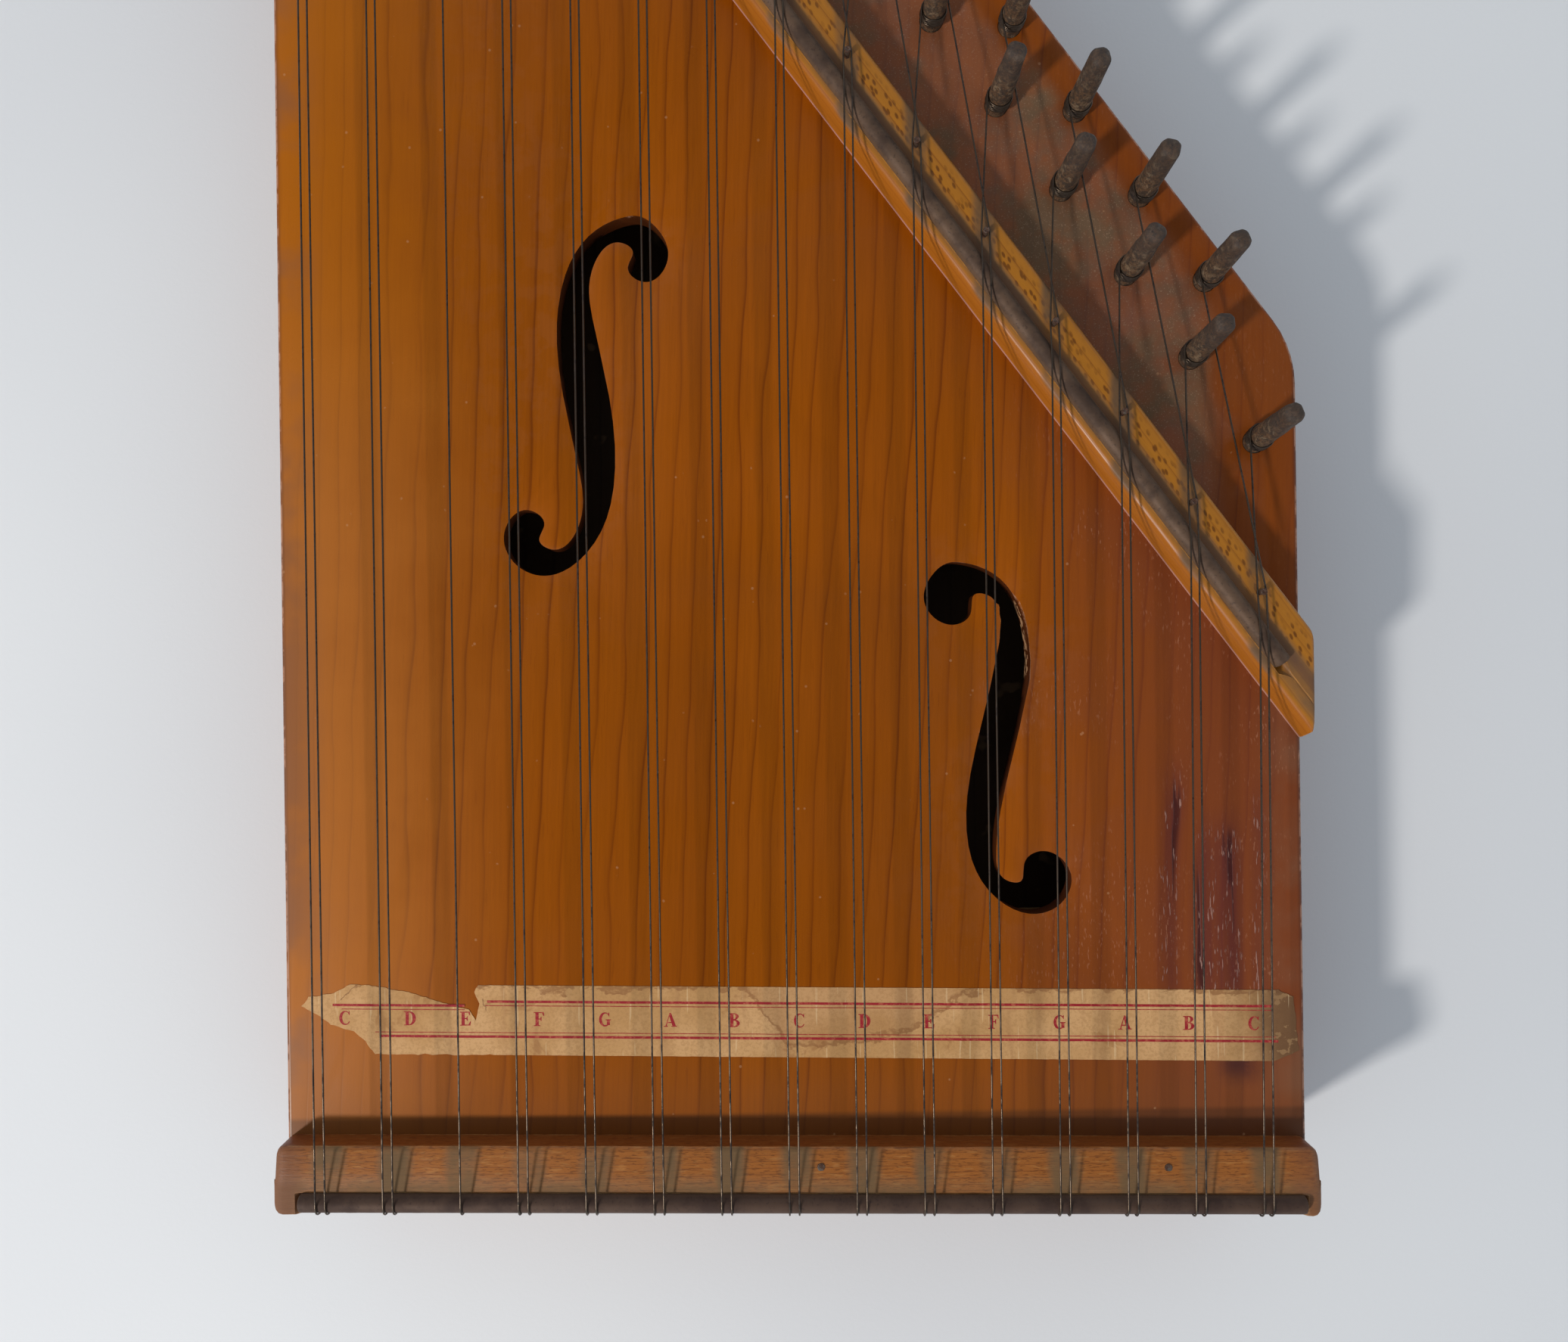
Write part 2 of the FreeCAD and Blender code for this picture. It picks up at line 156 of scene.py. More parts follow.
def rod_ends(node):
    """The two ends of a round rod's axis, the left one first."""
    points = solids(node)[0]
    centre = middle(points)
    left = middle([p for p in points if p.x < centre.x])
    right = middle([p for p in points if p.x > centre.x])
    return left, right


def on_line(start, end, x):
    """The point at x on the line through start and end."""
    return start.lerp(end, (x - start.x) / (end.x - start.x))


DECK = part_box("soundboard")[1].z
HALF_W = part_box("soundboard")[1].x
LABEL_LOW, LABEL_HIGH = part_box("scale_label")
LABEL_TOP = LABEL_HIGH.y - 2.2 * MM
TAIL_ROD = rod_ends("tail_rod")
BRIDGE_ROD = rod_ends("bridge_rod")
TAIL_ALONG = (TAIL_ROD[1] - TAIL_ROD[0]).normalized()
TAIL_INWARD = Vector((-TAIL_ALONG.y, TAIL_ALONG.x, 0))
SLANT_ALONG = (BRIDGE_ROD[0] - BRIDGE_ROD[1]).normalized()
SLANT_INWARD = Vector((-SLANT_ALONG.y, SLANT_ALONG.x, 0))
SLANT_TURN = atan2(-SLANT_ALONG.x, SLANT_ALONG.y)
SLANT_EDGE = BRIDGE_ROD[1] - SLANT_INWARD * GROOVE_IN
NAILS = [middle(points) for points in solids("guide_nails")]
NAIL_PITCH = (NAILS[-1].x - NAILS[0].x) / (COURSES - 1)
HITCHES = [middle(points) for points in solids("hitch_pins")]
PINS = {joint["child"]: joint for joint in frame["joints"]}


def tail_place(x, depth, z):
    """A point at x, at a depth inside the tail's end face."""
    on_rod = on_line(*TAIL_ROD, x)
    y = on_rod.y + (depth - TAIL_ROD_IN) / TAIL_ALONG.x
    return Vector((x, y, z))


def slant_place(x, inset, z):
    """A point at x, at a distance inside the slanted edge."""
    place = SLANT_EDGE + SLANT_INWARD * inset
    place += SLANT_ALONG * ((x - place.x) / SLANT_ALONG.x)
    return Vector((x, place.y, z))


# ---- materials

def paint(colour):
    """A colour as it looks, 0 to 255, turned into the renderer's linear values."""
    shares = (c / 255 for c in colour)
    return [c / 12.92 if c <= 0.04045 else ((c + 0.055) / 1.055) ** 2.4 for c in shares]


class Value:
    """A node's output. Each sign and method adds a node that works on it."""

    def __init__(self, look, socket):
        self.look = look
        self.socket = socket

    def __rsub__(self, other):
        return self.look.math("SUBTRACT", other, self)

    def __abs__(self):
        return self.look.math("ABSOLUTE", self)

    def step(self, low, high, start=0, end=1):
        """start below low, end above high, and smooth between them."""
        feeds = {0: self, 1: low, 2: high, 3: start, 4: end}
        return self.look.add("MapRange", feeds, interpolation_type="SMOOTHSTEP")

    def band(self, low, high, soft):
        """1 between low and high, with soft ends."""
        return self.step(low - soft, low + soft) * self.step(high - soft, high + soft, 1, 0)

    def split(self):
        node = self.look.add("SeparateXYZ", {0: self}).socket.node
        return [Value(self.look, part) for part in node.outputs]


def sign_method(operation):
    return lambda self, other: self.look.math(operation, self, other)


Value.__add__ = sign_method("ADD")
Value.__sub__ = sign_method("SUBTRACT")
Value.__mul__ = sign_method("MULTIPLY")
Value.__truediv__ = sign_method("DIVIDE")


class Look:
    """A node material, or the world's: marks are laid over its colour one by one.

    A colour is a tuple, as it looks, or a Vector that is linear already.
    """

    def __init__(self, name, store="materials", place="Object"):
        self.owner = getattr(bpy.data, store).new(name)
        self.owner.use_nodes = True
        self.tree = self.owner.node_tree
        self.tree.nodes.clear()
        self.place = self.add("TexCoord", output=place)
        self.colour = None
        self.normal = None

    def add(self, kind, feeds=None, output=0, **settings):
        """Adds a node, feeds its inputs and returns one of its outputs."""
        node = self.tree.nodes.new("ShaderNode" + kind)
        for key, value in settings.items():
            setattr(node, key, value)
        for key, value in (feeds or {}).items():
            socket = node.inputs[key]
            if isinstance(value, Value):
                self.tree.links.new(value.socket, socket)
            elif socket.type == "RGBA":
                linear = value if isinstance(value, Vector) else paint(value)
                socket.default_value = (*linear, 1)
            else:
                socket.default_value = value
        return Value(self, node.outputs[output])

    def math(self, operation, first, second=0):
        return self.add("Math", {0: first, 1: second}, operation=operation)

    def up(self):
        """How far a face looks up: 1 on level tops, 0 on walls."""
        return self.add("NewGeometry", output="Normal").split()[2]

    def stretch(self, scale, where=None, turn=0):
        feeds = {"Vector": where or self.place, "Scale": scale, "Rotation": (0, 0, turn)}
        return self.add("Mapping", feeds)

    def fibres(self, scale, where, detail=2, rough=0.5, twist=0):
        """Noise at a place, or where a tuple stretches the material's own place."""
        if isinstance(where, tuple):
            where = self.stretch(where)
        feeds = {"Vector": where, "Scale": scale, "Detail": detail, "Roughness": rough}
        return self.add("TexNoise", {**feeds, "Distortion": twist})

    def noise(self, scale, *settings):
        return self.fibres(scale, self.place, *settings)

    def cells(self, scale, where=None):
        feeds = {"Vector": where or self.place, "Scale": scale}
        return self.add("TexVoronoi", feeds, "Distance")

    def mix(self, share, first, second, blend="MIX"):
        feeds = {0: share, 6: first, 7: second}
        settings = {"data_type": "RGBA", "blend_type": blend, "clamp_factor": True}
        return self.add("Mix", feeds, 2, **settings)

    def lay(self, colour, share):
        """Lays a share of a colour over the material's."""
        self.colour = self.mix(share, self.colour, colour)

    def bump(self, height, distance, strength=1):
        """Adds a relief to the material's surface."""
        feeds = {"Height": height, "Distance": distance, "Strength": strength}
        if self.normal:
            feeds["Normal"] = self.normal
        self.normal = self.add("Bump", feeds)

    def wear(self, radius, scale, low, high, colour, share):
        """Lays a colour on sharp outer edges, in places."""
        soft = self.add("Bevel", {"Radius": radius}, samples=4)
        feeds = {0: soft, 1: self.add("NewGeometry", output="Normal")}
        flat = self.add("VectorMath", feeds, "Value", operation="DOT_PRODUCT")
        worn = flat.step(0.8, 0.985, 1, 0) * self.noise(scale, 3).step(low, high)
        self.lay(colour, worn * share)

    def close(self, kind, shader):
        output = self.tree.nodes.new("ShaderNode" + kind)
        self.tree.links.new(shader.socket, output.inputs[0])
        return self.owner

    def finish(self, rough, metal=0, coat=0, coat_rough=0.2, shine=0.5):
        feeds = {
            "Base Color": self.colour, "Normal": self.normal, "Roughness": rough,
            "Metallic": metal, "Coat Weight": coat, "Coat Roughness": coat_rough,
            "Specular IOR Level": shine,
        }
        return self.close("OutputMaterial", self.add("BsdfPrincipled", feeds))


# One growth ring: places along it and how dark the wood is there
GROWTH_RING = ((0, 0.1), (0.1, 0), (0.7, 0.05), (0.86, 0.34), (0.93, 1), (0.95, 1), (0.99, 0.12))


def grain(look, light, dark, turn=0, ring=4.8 * MM, sway=1):
    """Growth lines along local Y, broad bands and fine fibres. Returns their height."""
    place = look.stretch((1, 1, 1), turn=turn)
    across, _along, deep = place.split()

    def drawn(scale, along, detail=2, rough=0.5, deep=1):
        return look.fibres(scale, look.stretch((1, along, deep), place), detail, rough)

    moved = across + (drawn(9, 0.3, 1) - 0.5) * (0.02 * sway)
    moved += (drawn(60, 0.34) - 0.5) * (0.004 * sway)
    moved += (drawn(30, 0.01, 1, deep=0.5) - 0.5) * 0.016
    moved += deep * 0.6
    late = look.add("ValToRGB", {0: look.math("FRACT", moved / ring)})
    stops = late.socket.node.color_ramp.elements
    while len(stops) < len(GROWTH_RING):
        stops.new(0.5)
    for stop, (position, tone) in zip(stops, GROWTH_RING):
        stop.position = position
        stop.color = (tone, tone, tone, 1)
    line = late * drawn(60, 0.1).step(0.34, 0.62, 0.42, 1)
    band = drawn(24, 0.035).step(0.36, 0.66)
    fibre = drawn(1500, 0.03, 3, 0.6)
    pore = drawn(2600, 0.05, 1).step(0.66, 0.74)
    look.colour = look.mix(band * 0.24, light, dark)
    look.lay(dark, line * 0.66)
    shade = fibre.step(0.3, 0.7, 0.95, 1.045)
    tone = look.add("CombineColor", {0: shade, 1: shade, 2: shade})
    look.colour = look.mix(1, look.colour, tone, "MULTIPLY")
    look.lay(dark, pore * 0.16)
    return fibre * 0.6 + line * -0.5


def speckle(look, scale, size, share):
    """Sparse small specks."""
    here = look.cells(scale).step(size * 0.6, size, 1, 0)
    chosen = look.noise(scale * 0.45, 0).step(1 - share, 1 - share + 0.05)
    return here * chosen


def slant_inset(x, y):
    """How far inside the slanted edge a shaded point lies."""
    offset = x * SLANT_INWARD.x + y * SLANT_INWARD.y
    return offset - SLANT_EDGE.dot(SLANT_INWARD)


def soundboard_look():
    look = Look("varnished_soundboard")
    height = grain(look, (151, 77, 1), (96, 38, 0), turn=0.035, ring=5.6 * MM, sway=1.25)
    x, y, z = look.place.split()
    inset = slant_inset(x, y)
    cloud = look.noise(30, 4, 0.6)
    mottle = look.noise(240, 4, 0.65)
    # the left side is paler, a painted sheen that stands for the key light's reflection; the
    # right side redder
    left = (x + cloud * 0.04).step(-0.095, -0.035, 0.58, 0)
    painted_sheen = look.mix(y.step(-0.1, -0.01), (196, 122, 56), (190, 108, 8))
    look.lay(painted_sheen, left)
    behind = inset.step(0.036, 0.041, 1, 0)
    right = (x + cloud * 0.05).step(0.055, 0.125)
    right *= behind.step(0, 1, 0.72, 0.2)
    look.lay((116, 58, 38), right)
    # old stains and cracks at the lower right, with whitish flakes along them
    wavy = x + look.fibres(36, (1, 0.5, 1)) * 0.008
    streak = look.fibres(260, (1, 0.05, 1), 3, 0.6)
    stain = 0
    for stain_x, half, top in STAINS:
        here = wavy.band(stain_x - half, stain_x + half, 0.0022)
        here *= y.band(-0.196, top, 0.008)
        stain = look.math("MAXIMUM", stain, here)
    look.lay((92, 42, 42), stain * streak.step(0.35, 0.6, 0.38, 0.75))
    crack = streak.step(0.57, 0.62) * stain.step(0.35, 0.8)
    look.lay((50, 22, 24), crack * 0.7)
    blot = x.band(0.095, 0.103, 0.003) * y.band(-0.213, -0.207, 0.003)
    look.lay((72, 32, 34), blot * mottle.step(0.35, 0.55, 0.65, 1))
    flake = look.fibres(2200, (1, 0.14, 1)).step(0.62, 0.7)
    flake *= (stain + streak * 0.6).step(0.55, 0.85)
    look.lay((176, 134, 120), flake * 0.6)
    # dust behind the bridge, swept off along the slanted edge and at its right corner
    swept = (inset + cloud * 0.01).step(0.0115, 0.0165)
    swept *= (x + cloud * 0.012).step(0.096, 0.104, 1, 0)
    look.lay((92, 36, 8), behind * swept.step(0, 1, 0.4, 0))
    dust = behind * (swept * 0.86 + 0.06)
    dust *= (cloud + mottle * 0.6).step(0.64, 0.96, 0.6, 1)
    look.lay(look.mix(cloud.step(0.42, 0.58), (120, 80, 64), (104, 84, 64)), dust)
    look.lay((158, 128, 104), look.noise(3200, 1).step(0.6, 0.76, 0, 0.7) * dust)
    # handling dust along the long edges and round the rail
    edge = abs(x).step(HALF_W - 0.012, HALF_W, 0, 0.7)
    edge *= cloud.step(0.38, 0.6)
    edge *= 1 - behind
    look.lay(look.mix(right, (128, 84, 58), (128, 90, 68)), edge)
    look.lay((124, 78, 44), y.step(-0.224, -0.196, 0.34, 0))
    # painted shadow: a dark band on the board in front of the rail stands for the rail's cast
    # shadow, with a faint painted shade in the corner against it
    darkening = y.step(-0.227, -0.2215, 0.08, 0) + y.step(-0.2202, -0.2188, 0.5, 0)
    look.lay((60, 38, 24), darkening)
    # painted shade: the rounded rims of the long edges are darkened
    look.lay((66, 38, 28), abs(x).step(HALF_W - 1.4 * MM, HALF_W - 0.4 * MM, 0, 0.5))
    look.lay((206, 160, 118), speckle(look, 420, 0.16, 0.3) * 0.25)
    fleck = look.fibres(2700, (1, 0.22, 1), 1).step(0.64, 0.72)
    fleck = fleck * right * cloud.step(0.42, 0.6)
    fleck *= y.step(-0.205, -0.19)
    look.lay((196, 140, 110), fleck * 0.5)
    up = look.up()
    wall = up.step(0.15, 0.6, 1, 0)
    inside = abs(x).step(HALF_W - 0.004, HALF_W - 0.003, 1, 0)
    inside *= inset.step(0.05, 0.051)
    wall *= inside * y.step(-0.23, -0.229)
    look.lay((62, 30, 17), wall * 0.9)
    look.lay((186, 138, 112), up.band(0.2, 0.96, 0.03) * mottle.step(0.44, 0.58) * 0.6)
    # splintered varnish on one bend of the right sound hole
    splinter = look.fibres(1100, (1, 0.5, 0.6), 3).step(0.45, 0.52)
    ragged = z + look.fibres(700, (0, 1, 0), 4, 0.7) * -0.003
    splinter *= ragged.step(DECK - 3.4 * MM, DECK - 3.2 * MM, 1, 0)
    for axis, low, high in zip((x, y), *CHIPPED_RIM):
        splinter *= axis.band(low, high, 0.5 * MM)
    splinter *= up.step(0.9, 0.98, 1, 0)
    look.lay((206, 160, 118), splinter * 0.8)
    look.bump(height, 0.02 * MM, 0.5)
    look.bump(flake + crack * -1, 0.15 * MM, 0.8)
    look.bump(look.noise(16), 0.6 * MM, 0.4)
    return look.finish(cloud.step(0.3, 0.7, 0.27, 0.37) + dust * 0.55, shine=0.2)


def wood_look(name, light, dark, turn, ring, rough, dirt=0.35, inside_shade=0):
    """Stained wood of the frame, back and braces."""
    look = Look(name)
    height = grain(look, light, dark, turn, ring)
    cloud = look.noise(38, 4, 0.6)
    look.lay((78, 52, 36), cloud.step(0.48, 0.72, 0, dirt))
    # painted shade: up-facing faces, such as the back plate's inside seen through the sound
    # holes, are darkened by this share
    look.lay((22, 15, 9), look.up().step(0.5, 0.9, 0, inside_shade))
    look.lay((206, 164, 120), look.fibres(700, (0.2, 0.2, 1)).step(0.64, 0.7) * 0.25)
    look.wear(0.7 * MM, 220, 0.4, 0.62, (190, 142, 96), 0.7)
    look.bump(height, 0.04 * MM, 0.6)
    look.bump(look.noise(22), 0.5 * MM, 0.4)
    return look.finish(cloud.step(0.3, 0.7, rough, rough + 0.14), shine=0.35)


def raw_wood_look():
    """Raw, splintered softwood where the varnish has chipped away."""
    look = Look("chipped_raw_wood")
    height = grain(look, (222, 184, 138), (150, 104, 66))
    look.bump(look.fibres(2200, (1, 0.15, 1), 3), 0.15 * MM, 0.9)
    look.bump(height, 0.08 * MM, 0.6)
    return look.finish(0.8, shine=0.2)


def string_dust(look, x, first, pitch, width):
    """Grey dust gathers round each course: 1 at a course's middle, 0 between courses."""
    turns = (x - first) / pitch
    off = abs(look.math("FRACT", turns + 0.5) - 0.5)
    return off.step(width / pitch * 0.4, width / pitch, 1, 0)


def bridge_look():
    look = Look("flecked_bridge_hardwood")
    height = grain(look, (172, 111, 30), (118, 62, 10), -SLANT_TURN, 1.9 * MM, 0.3)
    x, y, z = look.place.split()
    inset = slant_inset(x, y)
    cloud = look.noise(70, 4, 0.6)
    top = z.step(DECK + 5.6 * MM, DECK + 6.7 * MM)
    rod_side = GROOVE_IN - ROD_R
    # dark flecks along the middle of the outer band, orange varnish on the inner slope
    lie = look.stretch((1, 0.42, 1), look.stretch((1, 1, 1), turn=-SLANT_TURN + 0.25))
    flat = {"Vector": lie, "Scale": 860}
    dash = look.add("TexVoronoi", flat, "Distance", voronoi_dimensions="2D")
    dash = dash.step(0.16, 0.36, 1, 0)
    along = inset.band(BRIDGE_OUTER + 2.2 * MM, rod_side - 1.8 * MM, 1 * MM)
    dash *= along * 0.72 + 0.08
    dash *= look.noise(130).step(0.34, 0.48, 0.25, 1)
    look.lay((92, 48, 6), dash * top)
    look.lay((152, 80, 20), inset.step(BRIDGE_INNER - 2.2 * MM, BRIDGE_INNER - 1.2 * MM, 0, 0.55))
    # dust beside the rod, on the inner top and round each course
    groove = inset.band(rod_side - 2.2 * MM, BRIDGE_INNER - 2.4 * MM, 0.9 * MM)
    course = string_dust(look, x, NAILS[0].x, NAIL_PITCH, 3.4 * MM)
    course *= cloud.step(0.35, 0.6, 0.4, 0.95)
    dust = look.math("MAXIMUM", groove * cloud.step(0.3, 0.65, 0.35, 0.8), course)
    dust *= top
    look.lay(look.mix(cloud, (112, 80, 48), (92, 74, 58)), dust)
    # painted shade: the band along the rod's outer side, away from the key light, is darkened
    shade = inset.band(rod_side - 1.4 * MM, rod_side + 0.4 * MM, 0.6 * MM)
    look.lay((84, 54, 46), shade * 0.45)
    look.wear(0.5 * MM, 300, 0.4, 0.6, (222, 150, 52), 0.7)
    # painted highlight: a pale pinkish line along the bridge's foot stands for the glint on the
    # glue at the join
    look.lay((186, 140, 132), z.step(DECK + 0.2 * MM, DECK + 0.9 * MM, 0.8, 0))
    look.bump(height, 0.03 * MM, 0.5)
    look.bump(dash * -1, 0.04 * MM, 0.5)
    return look.finish(dust * 0.5 + 0.34, coat=0.1, coat_rough=0.3, shine=0.28)


def rail_look():
    look = Look("beech_tail_rail")
    height = grain(look, (154, 92, 38), (106, 54, 18), QUARTER, 1.3 * MM, 0.3)
    x, y, z = look.place.split()
    cloud = look.noise(60, 4, 0.6)
    fine = look.fibres(3800, (0.16, 1, 1), 2, 0.5, 0.4)
    look.lay((88, 44, 14), fine.step(0.52, 0.62, 0, 0.55))
    look.lay((190, 132, 72), look.fibres(1900, (0.16, 1, 1), 1).step(0.58, 0.7) * 0.35)
    mids = [(HITCHES[2 * i].x + HITCHES[2 * i + 1].x) / 2 for i in (0, COURSES - 1)]
    pitch = (mids[1] - mids[0]) / (COURSES - 1)
    course = string_dust(look, x, mids[0] + 0.6 * MM, pitch, 4.8 * MM)
    low = (y + x * -TAIL_ALONG.y).step(-0.2335, -0.229, 0.75, 0)
    dust = look.math("MAXIMUM", course * 0.9, low)
    dust *= cloud.step(0.34, 0.62, 0.4, 1)
    top = z.step(DECK + 5.4 * MM, DECK + 6.2 * MM)
    dust *= top
    look.lay((104, 82, 54), dust)
    ends = abs(x).step(HALF_W - 9 * MM, HALF_W - 3 * MM)
    look.lay((112, 68, 44), ends * cloud.step(0.4, 0.6, 0.3, 0.7))
    look.lay((226, 200, 160), speckle(look, 240, 0.14, 0.22) * 0.8)
    # painted shade: the rail's faces below its top, away from the key light, are darkened
    look.lay((96, 36, 8), (1 - top) * 0.55)
    look.wear(0.6 * MM, 260, 0.42, 0.62, (222, 172, 110), 0.6)
    look.bump(height, 0.05 * MM, 0.6)
    look.bump(fine, 0.05 * MM, 0.5)
    return look.finish(dust * 0.4 + 0.42, shine=0.35)


def steel_look(name, bare, rust, share, rough, scale, relief, gleam, dark_above=None):
    """Old steel: bare metal, brown rust with pits, and handling grime above a height."""
    look = Look(name)
    apart = look.add("ObjectInfo", output="Random")
    shift = look.add("CombineXYZ", {0: apart, 1: apart, 2: apart})
    spot = look.add("VectorMath", {0: look.place, 1: shift}, operation="ADD")
    cloud = look.fibres(scale, spot, 5, 0.62)
    fine = look.fibres(scale * 6, spot, 3, 0.6)
    rusty = (cloud + fine * 0.25).step(0.82 - share, 0.95 - share * 0.6)
    pit = look.cells(scale * 2.6, spot).step(0.1, 0.24, 1, 0)
    pit *= look.fibres(scale, spot).step(0.48, 0.56)
    tone = look.mix(fine.step(0.35, 0.65), rust, Vector(paint(rust)) * 0.45)
    look.colour = look.mix(rusty, bare, tone)
    look.lay((30, 22, 18), pit * 0.8)
    metal = rusty.step(0.1, 0.9, gleam, gleam * 0.3)
    if dark_above:
        look.lay((42, 34, 28), look.fibres(scale * 2.4, spot, 4, 0.7).step(0.47, 0.56) * 0.72)
        dusty = look.fibres(scale * 1.7, spot, 5, 0.7, 0.5).step(0.54, 0.64)
        look.lay((146, 124, 98), dusty * 0.45)
        high = look.place.split()[2] + cloud * 0.006
        darkening = high.step(dark_above, dark_above + 0.008, 0, 0.6)
        look.lay((54, 42, 36), darkening)
        metal *= darkening.step(0, 1, 0.8, 0.2)
    look.bump(fine * 0.5 + (rusty * 0.5 + pit * -0.9), relief, 0.7)
    return look.finish(rusty.step(0, 1, rough, 0.75), metal=metal)


def rod_look():
    """Dull grey-brown steel rod, rubbed brighter along its top and dusty at the sides."""
    look = Look("dusty_steel_rod")
    cloud = look.noise(110, 5, 0.62)
    fine = look.noise(1500, 3, 0.6)
    up = look.up()
    look.colour = look.mix(cloud.step(0.38, 0.64), (95, 73, 57), (66, 49, 39))
    look.lay((104, 80, 58), up.step(0.2, 0.75, 0.5, 0))
    look.lay((46, 34, 28), fine.step(0.58, 0.68, 0, 0.5))
    look.lay((56, 38, 36), look.place.split()[1].step(-0.225, -0.215, 0.45, 0))
    metal = up.step(0.2, 0.8, 0, 0.25)
    look.bump(fine, 0.03 * MM, 0.6)
    look.bump(look.noise(300), 0.06 * MM, 0.5)
    return look.finish(cloud.step(0.3, 0.7, 0.58, 0.72), metal=metal, shine=0.3)


def paper_look():
    """Yellowed, stained paper with fibres, pale where it is torn."""
    look = Look("aged_label_paper")
    x, y, _z = look.place.split()
    cloud = look.noise(45, 5, 0.6)
    fine = look.noise(1600, 3, 0.6)
    look.colour = look.mix(cloud.step(0.36, 0.64), (204, 158, 108), (184, 138, 86))
    look.lay((162, 118, 72), fine.step(0.45, 0.62, 0, 0.35))
    look.lay((156, 112, 72), look.fibres(210, (1, 0.12, 1)).step(0.56, 0.66, 0, 0.35))
    look.lay((146, 94, 50), look.noise(90, 4, 0.7, 0.6).step(0.6, 0.66) * 0.4)
    # a brown tide mark hangs from the upper edge near the middle
    depth = x.step(-0.013, -0.001) * x.step(0.016, 0.045, 1, 0)
    ragged = look.fibres(170, (1, 1.6, 1), 4, 0.65)
    shore = y + depth * 0.0125 + ragged * 0.01
    soaked = shore - (x * LABEL_SLOPE + (LABEL_TOP + 0.005))
    look.lay((150, 102, 60), soaked.step(-0.0002, 0.0002, 0, 0.28))
    look.lay((132, 84, 46), soaked.band(0, 0.0011, 0.0004) * 0.55)
    # the right end is soiled more and more towards the edge, with pale chips
    soil = (x + cloud * 0.014).step(0.102, 0.118, 0, 0.95)
    look.lay((104, 72, 46), soil)
    look.lay((160, 124, 84), look.noise(520, 3).step(0.6, 0.64, 0, 0.6) * soil)
    # two short tears left of the middle
    for start_x, low_y, high_y, lean in TEARS:
        tear = x + (y - high_y) * -lean
        tear += look.noise(900) * 0.0012
        tear = tear.band(start_x + 0.0005, start_x + 0.0007, 0.00015)
        tear *= y.band(low_y, high_y, 0.0003)
        look.lay((104, 62, 34), tear * 0.8)
    look.lay((240, 214, 170), look.fibres(1400, (1, 0.05, 1), 1).step(0.68, 0.72) * 0.25)
    look.lay((206, 172, 126), look.add("Attribute", output="Fac", attribute_name="torn") * 0.55)
    look.bump(fine, 0.03 * MM, 0.6)
    look.bump(look.noise(120, 3), 0.12 * MM, 0.5)
    return look.finish(0.72, shine=0.25)


def ink_look():
    look = Look("red_printing_ink")
    worn = look.noise(900, 4, 0.7)
    look.colour = look.mix(worn.step(0.46, 0.66), (150, 30, 40), (176, 84, 66))
    look.bump(worn, 0.01 * MM, 0.5)
    return look.finish(0.6, shine=0.2)


def floor_look():
    look = Look("pale_floor")
    look.colour = look.mix(look.noise(3).step(0.3, 0.7), (226, 228, 231), (218, 220, 224))
    look.bump(look.noise(900), 0.05 * MM, 0.5)
    return look.finish(0.85, shine=0.1)


# ---- mesh helpers

def put(name, data):
    """A new object in the scene."""
    made = bpy.data.objects.new(name, data)
    bpy.context.scene.collection.objects.link(made)
    return made


def mesh_data(name, mesh, materials, smooth):
    """Turns a bmesh into mesh data; edges sharper than smooth degrees stay sharp."""
    bmesh.ops.recalc_face_normals(mesh, faces=mesh.faces)
    data = bpy.data.meshes.new(name)
    mesh.to_mesh(data)
    mesh.free()
    for material in materials:
        data.materials.append(material)
    data.shade_smooth()
    data.set_sharp_from_angle(angle=radians(smooth))
    return data


def piece_from(name, mesh, materials, node=None, smooth=35):
    """Turns a bmesh into a piece on the body, which may replace a CAD node."""
    piece = put(name, mesh_data(name, mesh, materials, smooth))
    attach(piece, BODY)
    if node:
        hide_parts(node)


def skin(rings):
    """A mesh of rings of points, in order, joined with quads and closed at both ends."""
    mesh = bmesh.new()
    made = [[mesh.verts.new(point) for point in ring] for ring in rings]
    count = len(made[0])
    for low, high in zip(made, made[1:]):
        for i in range(count):
            j = (i + 1) % count
            mesh.faces.new((low[i], low[j], high[j], high[i]))
    ends = [mesh.faces.new(made[0][::-1]), mesh.faces.new(made[-1])]
    bmesh.ops.triangulate(mesh, faces=ends)
    return mesh


def circle(sides):
    """The angles of a round section's points."""
    return [tau * k / sides for k in range(sides)]


def tube(path, radius):
    """A closed round tube whose section is carried along the path without twisting."""
    forward = (path[1] - path[0]).normalized()
    side = forward.orthogonal().normalized()
    rings = []
    for before, point, after in zip(path[:1] + path, path, path[1:] + path[-1:]):
        new_forward = (after - before).normalized()
        side = forward.rotation_difference(new_forward) @ side
        side = (side - new_forward * side.dot(new_forward)).normalized()
        forward = new_forward
        up = forward.cross(side)
        rings.append([point + (side * cos(a) + up * sin(a)) * radius for a in circle(8)])
    return skin(rings)


def lathe(start, axis, profile, sides, dent):
    """Turns a (distance along the axis, radius) profile about an axis, faintly dented."""
    side = axis.orthogonal().normalized()
    up = axis.cross(side)
    rings = []
    for along, radius in profile:
        ring = []
        for angle in circle(sides):
            out = side * cos(angle) + up * sin(angle)
            place = start + axis * along + out * radius
            ring.append(place + out * noise.noise(place * 400) * dent)
        rings.append(ring)
    return skin(rings)


